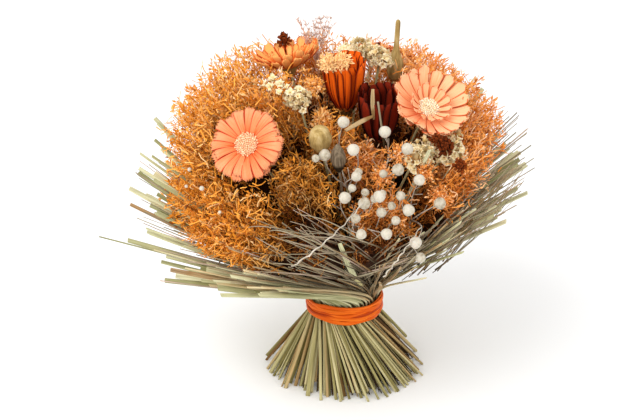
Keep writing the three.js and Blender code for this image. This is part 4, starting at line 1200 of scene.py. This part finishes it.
def spray(name, number):
    """One spray: twigs that fan out through its cell, with leaflets all round, loose strands, and the core.

    The outer twigs reach a little over the cell's edge at their tips, so that the sprays close over.
    """
    lane, room = lanes[name]
    planes, top = cell_planes(name), TOP_OF.get(name, 1.0)
    count = round(room * TWIGS_FOR_ROOM)
    i = np.arange(count)
    size = np.sqrt((i + 0.5) / count)
    angle = i * GOLDEN_ANGLE + number
    root = crown_point(in_cell(lane, planes, angle, size * 0.6), mix(0.78, 0.66, size**2) * top)
    tip_share = (mix(0.99, 0.95, size**2) + jitter(i, number + 60, 0.055)) * top
    spread = np.minimum(size * 1.04, 1) * mix(0.95, 1.35, chance(i, number + 90))
    tip = crown_point(in_cell(lane, planes, angle + jitter(i, number + 30, 0.5), spread), tip_share)
    t = np.linspace(0, 1, 7)[None, :, None]
    along = unit(tip - root)
    side = unit(np.cross(along, unit(stray(i, (1, 2, 3), 1))))
    bow = side * jitter(i, 4, 0.010)[:, None]
    path = straight(root, tip, 7) + bow[:, None] * np.sin(np.pi * t)
    path = path + np.cross(along, side)[:, None] * 0.002 * np.sin(t * 9 + i[:, None, None])
    draws = chance(i, 18)
    free = np.all(clear_of_heads(path[:, 2:]), 1) & leafy(path[:, 4], draws) & leafy(path[:, 6], draws)
    thick = mix(0.0004, 0.00018, t[..., 0])
    wires = sweep(path[free], side[free], thick, thick, 3, chance(i[free], 5))

    j = np.arange(LEAFLETS_ON_TWIG)[None]
    k = i[:, None] * LEAFLETS_ON_TWIG + j
    at = ((j + chance(k, 6)) / LEAFLETS_ON_TWIG) ** 0.8
    step = np.clip(at * 6, 0, 5.999)
    low = step.astype(int)
    foot = mix(path[i[:, None], low], path[i[:, None], low + 1], (step - low)[..., None])
    spin = k * GOLDEN_ANGLE + chance(k, 7)
    splay = mix(0.4, 2.0, chance(k, 8)) * mix(1.0, 0.45, at**4)
    second = np.cross(along, side)
    away = side[:, None] * np.cos(spin)[..., None] + second[:, None] * np.sin(spin)[..., None]
    way = unit(along[:, None] * np.cos(splay)[..., None] + away * np.sin(splay)[..., None])
    foot = foot + away * (0.0024 * chance(k, 14) ** 2)[..., None]
    length = mix(0.0022, 0.0078, chance(k, 9) ** 1.6) * mix(1.15, 0.85, at)
    end = foot + way * length[..., None]
    width = mix(0.0009, 0.0020, chance(k, 10) ** 1.5) * mix(1, 1.4, chance(i, 11) ** 3)[:, None]
    # Painted shade: leaflets low on their twigs, low at the front, in the hollow and in the nook get lower
    # depths, so they are browner.
    depth = mix(mix(0.66, 0.78, size**2)[:, None], tip_share[:, None] / top, at)
    depth = (depth - 0.7) / 0.35 - shadow(foot)
    foot, end, k = foot.reshape(-1, 3), end.reshape(-1, 3), k.ravel()
    twig = np.repeat(i, LEAFLETS_ON_TWIG)
    keep = clear_of_heads(end) & clear_of_heads(foot) & (chance(k, 19) < 0.9 + clumps(foot, 0.013) * 1.1)
    keep &= leafy(foot, chance(twig, 18))
    foot, end, k, twig = foot[keep], end[keep], k[keep], twig[keep]
    # Painted light and shade: besides random tones and clumps, leaflets higher up get lighter tones and lower
    # ones darker.
    tone = mix(chance(k, 13), chance(twig, 12), 0.35) + 0.2 * clumps(foot, 0.035) + 3 * (foot[:, 2] - 0.17)
    turn = side[twig] + stray(k, (15, 16, 17), 0.9)
    blades = leaflets(foot, end, width.ravel()[keep], turn, tone, depth.ravel()[keep])

    tangle = strands_in(name, number, round(room * STRANDS_FOR_ROOM), 0.84 * top, 1.01 * top)
    stem_ends[name] = crown_point(lane, 0.5 * top)
    return together([wires, blades, tangle, dark_core(lane, planes, top, number)])


def foliage_recipe(*stops):
    """Dyed leaflets that differ in tone, with painted shade: what lies deeper is browner, and the core is
    nearly black.
    """
    *stops, gap, bark = stops

    def recipe(shade):
        tone, depth = shade.attribute("tone"), shade.attribute("depth")
        mottle = shade.noise(160, 2)
        colour = shade.ramp(tone + (mottle - 0.5) * 0.45, *stops)
        # Painted shade: low depths blend to the brown colour, and the core to the near-black one.
        depth_shaded = shade.blend(ink(bark), colour, shade.clamp(depth * 1.5 - 0.15))
        return shade.blend(depth_shaded, ink(gap), shade.maths("LESS_THAN", depth, CORE_DEPTH / 2)), mottle

    return recipe


# The last two colours of each are painted shade: the near-black of the cores, then the brown of what lies
# deep.
golden_recipe = foliage_recipe(
    (0.0, "8E4A0C"), (0.2, "C87A1C"), (0.45, "E99430"), (0.7, "F4AA4C"), (0.88, "F8BC6C"), (1.0, "FBD094"),
    "301604", "5A2C08",
)
salmon_recipe = foliage_recipe(
    (0.0, "8C440C"), (0.2, "C26C20"), (0.45, "E48C38"), (0.7, "F4A656"), (0.88, "F8B87A"), (1.0, "FBD0A2"),
    "301604", "5E2E0A",
)
golden_finish = finish_of("golden_foliage", golden_recipe, bump_depth=0.0001, subsurface=0.08)
salmon_finish = finish_of("salmon_foliage", salmon_recipe, bump_depth=0.0001, subsurface=0.08)
sprays = [name for name in lanes if "spray" in name]
flowers = [name for name in lanes if "spray" not in name]
for number, name in enumerate(sprays, 1):
    golden = name.startswith("golden")
    material, slot = (golden_finish, "golden_foliage") if golden else (salmon_finish, "salmon_foliage")
    add_piece(name, spray(name, number), material, slot, name, smooth=False)

# Under each flower the room round its stem is filled with loose strands, painted browner and darker as shade
# because they lie deep.
inner = together([
    strands_in(name, number, 90 if "bloom" in name else 50, 0.5, 0.68 if name.startswith("rust") else 0.84)
    for number, name in enumerate(flowers)
])
inner.tone = inner.tone * 0.6
add_piece("inner_foliage", inner.at_depth(0.35), golden_finish, "golden_foliage", smooth=False)

# Stems
# The flowers' and sprays' own stems fill the heart of the bundle: each runs from its cut foot to its head.


def heart_stems(names, radius):
    """Round stems from the floor to where each head or spray begins."""
    lane = np.array([lanes[name][0] for name in names])
    path = stem_path(lane, np.array([stem_ends[name] for name in names]), crown_steps=12)
    thick = np.reshape(radius, (-1, 1)) * np.linspace(1.15, 0.8, path.shape[1])[None]
    tones = 0.2 + 0.6 * chance(np.arange(len(names)), 99)
    return sweep(path, [1.0, 0, 0], thick, thick, 7, tones, hollow=STEM_HOLE)


def bark_finish(name, base, light):
    """Dry bark with fine streaks, darkened by painted shade in the legs and wherever the depth is low."""

    def recipe(shade):
        streaks = shade.noise(900, 3, (1, 1, 0.06))
        colour = shade.ramp(streaks + shade.attribute("tone") * 0.2, (0.35, base), (0.75, light))
        # Painted shade: the legs, and other parts of low depth, are darkened.
        return shade.blend(colour, ink("6A5C44"), in_leg(shade), "MULTIPLY"), streaks

    return finish_of(name, recipe)


radii = [0.002 if name == "button_flower" else 0.00105 for name in flowers]
bark = bark_finish("flower_stem", "6F6646", "B5AA7C")
add_piece("flower_stems", heart_stems(flowers, radii), bark, "straw")
bark = bark_finish("spray_stem", "7A3A10", "C0702C")
add_piece("spray_stems", heart_stems(sprays, 0.0011), bark, "golden_foliage")

# Arching stems and twigs
# Thin stems of the collar that spring back over the foliage at the front, and two pale twigs, twisted like
# cord, that stand out over the hollow.


def bent(start, middle, end, steps=14):
    """Paths through three points: the quadratic curve that meets them at 0, a half and 1."""
    t = np.linspace(0, 1, steps)[:, None]
    start, middle, end = (np.asarray(point, float)[..., None, :] for point in (start, middle, end))
    return start * (1 - 2 * t) * (1 - t) + middle * 4 * t * (1 - t) + end * t * (2 * t - 1)


def arching_stems(count, draw, foot, tip, bulge):
    """Thin stems that come out of the collar's inside and arch over the foliage.

    The foot and the tip each have a range of azimuths, of leans and of shares. The middle of a stem stands
    out from the straight line between them by the bulge, give or take a few millimetres.
    """
    i = np.arange(count) + draw * 200
    feet, tips = [], []
    for k, (foot_span, tip_span) in enumerate(zip(foot, tip)):
        feet.append(mix(*foot_span, chance(i, 31 + k)))
        tips.append(mix(*tip_span, mix(chance(i, 31 + k), chance(i, 35 + k), 0.6)))
    feet, tips = on_dome(*np.transpose(feet)), on_dome(*np.transpose(tips))
    middles = mix(feet, tips, mix(0.45, 0.6, chance(i, 38))[:, None])
    middles += from_waist(middles) * bulge + stray(i, (39, 57, 58), 0.003)
    path = bent(feet, middles, tips, steps=11)
    thick = mix(0.0003, 0.0006, chance(i, 40))[:, None] * np.linspace(1.2, 0.5, 11)[None]
    stems = sweep(path, UP, thick, thick, 4, mix(0.7, 1.0, chance(i, 41)))
    # Painted shade: the depths start low, so the legs' painted shade darkens the lower part of each stem.
    return stems.at_depth(mix(0.3, 0.85, stems.depth))


arching = together([
    arching_stems(22, 1, ((-95, -76), (46, 62), (0.66, 0.9)), ((-114, -96), (40, 59), (0.96, 1.04)), 0.004),
    arching_stems(12, 5, ((-96, -84), (50, 60), (0.8, 0.95)), ((-126, -108), (47, 62), (1.0, 1.04)), 0.009),
    arching_stems(13, 2, ((-90, -72), (50, 61), (0.7, 0.9)), ((-80, -58), (45, 58), (0.92, 1.02)), 0.004),
    arching_stems(26, 3, ((-64, -38), (54, 62), (0.6, 0.8)), ((-36, -2), (42, 54), (1.0, 1.05)), 0.003),
])
add_piece("arching_stems", arching, straw_finish, "straw")

TWIG_STEPS = 30
twist = np.linspace(0, 40, TWIG_STEPS)[:, None]
coil = 0.0006 * np.concatenate([np.sin(twist), 0 * twist, np.cos(twist)], 1)
twisted = np.stack([
    bent(*on_dome((-107, 58, 1.02), (-95, 51, 1.05), (-85, 44, 1.07)), TWIG_STEPS) + coil,
    bent(*on_dome((-79, 60, 1.0), (-74, 55, 1.04), (-68, 50, 1.05)), TWIG_STEPS) + coil,
])
thick = np.linspace(0.00072, 0.00035, TWIG_STEPS)[None] * (1 + 0.25 * np.sin(twist.T * 1.7))
add_piece("twisted_twigs", sweep(twisted, UP, thick, thick * 0.8, 6, TWIG_TONE), berry_finish, "berry")

# Loose leaves
# A pale dry leaf folded over between the rust blooms, with a cut stalk beside it, and a curved blade of straw
# in the hollow.

shaped = 0.3 + 0.7 * np.sin(np.linspace(0.25, 2.6, 14))[None]
leaves = []
for places, across, width, thickness, sides, tone in (
    ([(0.0190, -0.056, 0.2270), (0.0180, -0.058, 0.2390), (0.0180, -0.056, 0.2500)],
     (1.0, 0.3, 0), 0.0016 * shaped, 0.0003, 8, 0.62),
    ([(0.0190, -0.057, 0.2300), (0.0100, -0.060, 0.2270), (-0.0010, -0.060, 0.2200)],
     (0.2, 0, 1.0), 0.0017 * shaped, 0.0003, 8, 0.64),
    ([(0.0265, -0.062, 0.2080), (0.0240, -0.062, 0.2260), (0.0215, -0.060, 0.2420)],
     (1.0, 0, 0), 0.0007, 0.0006, 6, 0.8),
    ([(0.0130, -0.030, 0.082), (0.0040, -0.090, 0.1235), (-0.0055, -0.125, 0.1635)],
     (1.0, 0.2, 0), 0.0021 * shaped, 0.0003, 8, 0.3),
):
    leaves.append(sweep(bent(*places)[None], across, width, thickness, sides, tone))
add_piece("loose_leaves", together(leaves), straw_finish, "straw")

# Dark bud
# A closed brown bud with six soft ribs, at the front over the hollow, on its own short stalk.

run = np.linspace(0.02, 0.98, 15)
bud = lathe(np.stack([0.0052 * np.sin(np.pi * run) ** 0.7, 0.029 * run - 0.013], -1), 24, 0.4)
bud_stalk = bent((0, 0, -0.045), (0.001, 0, -0.028), (0, 0, -0.010), 5)[None]
bud_parts = [ribbed(bud, 6, 0.05), sweep(bud_stalk, [1.0, 0, 0], 0.0009, 0.0009, 6, 0.4)]
bud = scattered(together(bud_parts), on_dome((-94, 31.5, 0.93)), leaning(-1.7, 0.42))
add_piece("dark_bud", bud, bark_finish("dark_bud", "463A2C", "94826A"), "pod")

# Feathery sprig
# A pinkish grass plume that rises behind the top bloom: thin stalks from one foot, with fine barbs.

FEATHER_STALKS = 19
foot = np.array([-0.0215, 0.030, 0.236])
i = np.arange(FEATHER_STALKS)
across = mix(-0.015, 0.013, (i + 0.5) / FEATHER_STALKS)
tips = foot + np.stack([across, jitter(i, 5, 0.006), mix(0.022, 0.037, chance(i, 6))], -1)
stalks = bent(foot, mix(foot, tips, 0.5) + UP * 0.003, tips, 8)
barb_foot = stalks[:, 3:].reshape(-1, 3).repeat(4, 0)
j = np.arange(len(barb_foot))
barb_way = unit(np.stack([jitter(j, 7, 1), jitter(j, 8, 1), 0.3 + chance(j, 9)], -1))
barb_tip = barb_foot + barb_way * mix(0.002, 0.0045, chance(j, 10))[:, None]
barb_tip = np.minimum(barb_tip, np.array(cad_box[1]) - 0.001)
barbs = leaflets(barb_foot, barb_tip, mix(0.0004, 0.0009, chance(j, 11)), barb_way[:, [1, 2, 0]],
                 mix(0.85, 1.1, chance(j, 12)), np.ones(len(j)))
plume = together([sweep(stalks, [1.0, 0, 0], 0.0002, 0.0002, 4, 0.9 + 0.01 * i), barbs]).at_depth(0.9)
add_piece("feathery_sprig", plume, bark_finish("feathery_sprig", "D8A084", "F2D0BC"), "salmon_foliage")

# Leafy tips
# Small bushy tips of the dyed foliage that stand out by themselves: cream and golden ones round the bright
# rust bloom, one deep under the top bloom, and salmon ones behind the berries.


def tuft(centre, axis, radius, count, draw, tone=(0.55, 1.15), stalk=0.05):
    """A bushy tip of foliage: leaflets all over a little ball, and the twig that carries it."""
    i = np.arange(count) + draw * 700
    way = leaning(i * GOLDEN_ANGLE, np.arccos(1 - 1.5 * chance(i, 42)))
    lumps = 0.85 + 0.25 * np.sin(way @ [5.7, 6.9, 4.1] + draw)
    root = way * (radius * np.sqrt(chance(i, 43)) * lumps)[:, None]
    turn = stray(i, (44, 45, 46), 1.0)
    tip = root + unit(way + turn * 1.6) * mix(0.0014, 0.0036, chance(i, 47))[:, None]
    width = mix(0.0008, 0.0016, chance(i, 48))
    blades = leaflets(root, tip, width, turn, mix(*tone, chance(i, 49)), np.ones(count))
    twig = bent((0, 0, -stalk), (0.001, 0, -stalk / 2), (0, 0, 0), 5)[None]
    twig = sweep(twig, [1.0, 0, 0], 0.0005, 0.0005, 5, 0.4).at_depth(0.7)
    return scattered(together([blades, twig]), centre, axis)


CREAM_TONES, CREAM_STALK = (0.9, 1.35), 0.008
rust_base = crown_point(lanes["rust_bloom_front"][0], RUST_SHARE)
under_top = crown_point(lanes["peach_bloom_top"][0], 0.74)
forward = leaning(-1.6, 1.1)
tufts = together([
    tuft(rust_base + [-0.0120, -0.0170, 0.0395], forward, 0.0072, 520, 1, CREAM_TONES, CREAM_STALK),
    tuft(rust_base + [-0.0020, -0.0190, 0.0415], forward, 0.0060, 340, 4, CREAM_TONES, CREAM_STALK),
    tuft(rust_base + [-0.0225, -0.0060, 0.017], leaning(-2.4, 0.35), 0.0095, 560, 2),
    tuft(rust_base + [-0.0160, -0.0170, -0.002], leaning(-2.0, 0.6), 0.0080, 420, 3),
    tuft(under_top + [0.004, -0.006, 0], UP, 0.0095, 460, 9, (0.0, 0.6)),
])
add_piece("foliage_tufts", tufts, golden_finish, "golden_foliage", smooth=False)

tuft_places = on_dome((-67, 32, 0.95), (-59, 37, 0.94), (-76, 36, 0.93), (-55, 43, 0.93))
tufts = together([
    tuft(place, from_waist(place), 0.0095, 420, draw, (0.3, 1.0))
    for draw, place in enumerate(tuft_places, 5)
])
add_piece("salmon_tufts", tufts, salmon_finish, "salmon_foliage", smooth=False)

# Loose florets, seed heads and buds
# A row of tiny cream florets on the upper left, tight brown seed heads of overlapping scales, one of them on
# a stalk over the top bloom, and four small white buds low on the left.

FLORETS_IN_ROW = 16
i = np.arange(FLORETS_IN_ROW)
azimuths, leans = mix(-143, -119, i / (FLORETS_IN_ROW - 1)), 20.5 + jitter(i, 50, 1.6)
centres = on_dome(*np.stack([azimuths, leans, 1.035 + jitter(i, 51, 0.012)], -1))
ways = unit(centres - [0, 0.02, 0.15] + stray(i, (52, 53, 54), 0.05))
tones = mix(0.5, 1.0, chance(i, 56))
florets = scattered(floret(0.0026), centres, ways, 1 + jitter(i, 55, 0.3), i * 1.9, tones)
add_piece("loose_florets", florets, cream_finish, "cream_floret")


def seed_head(centre, axis, radius, count, draw):
    """A tight head of overlapping scales."""
    i = np.arange(count)
    outward = sunflower(i, count, 1.6)
    line = [(0, 0), (radius * 0.2, radius * 0.3), (radius * 0.25, radius * 0.6)]
    scale = petal_ring(
        1, 0, line, radius * 0.6, thickness=PAPER, rib=0, curl=0, draw=draw, rows=4, columns=3, root=0.5,
    )
    scales = scattered(scale, outward * radius * 0.6, outward, 1 + jitter(i, draw, 0.3), i * 1.3)
    return scattered(together([ball(radius * 0.7, radius * 0.7, 7, 10, 0.3), scales]), centre, axis)


stalked = np.array([-0.0450, 0.030, 0.2545])
stalk = bent(stalked - [-0.003, 0, 0.03], stalked - [-0.001, 0, 0.015], stalked)[None]
large, middle, small = on_dome((-52, 35, 1.04), (-50, 40, 1.05), (-54, 33, 1.03))
seed_heads = together([
    seed_head(large, leaning(-0.9, 0.6), 0.0052, 30, 1),
    seed_head(middle, leaning(-0.9, 0.7), 0.0040, 24, 2),
    seed_head(small, leaning(-0.9, 0.6), 0.0038, 24, 3),
    seed_head(stalked, leaning(-1.6, 0.5), 0.0042, 24, 4),
    sweep(stalk, [1.0, 0, 0], 0.0006, 0.0006, 5, 0.3),
])
add_piece("seed_heads", seed_heads, bark_finish("brown_seed_head", "451604", "8E3E10"), "rust_petal")

places = on_dome((-141, 47, 1.05), (-149, 48.5, 1.05), (-150, 45, 1.05), (-132, 50, 1.04))
buds = scattered(berry_ball, places, UP, [0.42, 0.3, 0.36, 0.28], 0.0, 0.9)
add_piece("white_buds", buds, berry_finish, "berry")

# Table and light
# The posy stands on a plain white table under a broad soft light from the upper left, and a weak one from the
# right.

CAMERA_TARGET = Vector((-0.0218, 0, 0.1305))
CAMERA_DISTANCE, CAMERA_ELEVATION = 1.5, np.radians(25)

camera = put("camera", bpy.data.cameras.new("camera"))
away = Vector((0, -np.cos(CAMERA_ELEVATION), np.sin(CAMERA_ELEVATION)))
camera.location = CAMERA_TARGET + CAMERA_DISTANCE * away
camera.rotation_euler = (np.pi / 2 - CAMERA_ELEVATION, 0, 0)
camera.data.lens, camera.data.sensor_width = 113.9, 36
bpy.context.scene.camera = camera


def area_light(name, place, size, power):
    """A square soft light at a place, aimed at the middle of the posy."""
    light = put(name, bpy.data.lights.new(name, "AREA"))
    light.data.size, light.data.energy = size, power
    light.location = place
    light.rotation_euler = (CAMERA_TARGET - light.location).to_track_quat("-Z", "Y").to_euler()


area_light("key_light", Vector((-0.9, -0.9, 1.5)), 1.4, 22)
area_light("fill_light", Vector((1.3, -1.1, 0.9)), 1.2, 5)

world = bpy.data.worlds.new("studio")
world.use_nodes = True
world.node_tree.nodes["Background"].inputs["Color"].default_value = (1, 1, 1, 1)
world.node_tree.nodes["Background"].inputs["Strength"].default_value = 1.0
bpy.context.scene.world = world
bpy.context.scene.view_settings.view_transform = "Standard"

TABLE_REACH = 30.0
corners = [(x * TABLE_REACH, y * TABLE_REACH, 0) for x, y in ((-1, -1), (1, -1), (1, 1), (-1, 1))]
table_mesh = bpy.data.meshes.new("table")
table_mesh.from_pydata(corners, [], [(0, 1, 2, 3)])
table = put("table", table_mesh)
table_finish = bpy.data.materials.new("table")
table_finish.use_nodes = True
table_shader = table_finish.node_tree.nodes["Principled BSDF"]
table_shader.inputs["Base Color"].default_value = (0.95, 0.95, 0.95, 1)
table_shader.inputs["Roughness"].default_value = 0.9
table_mesh.materials.append(table_finish)
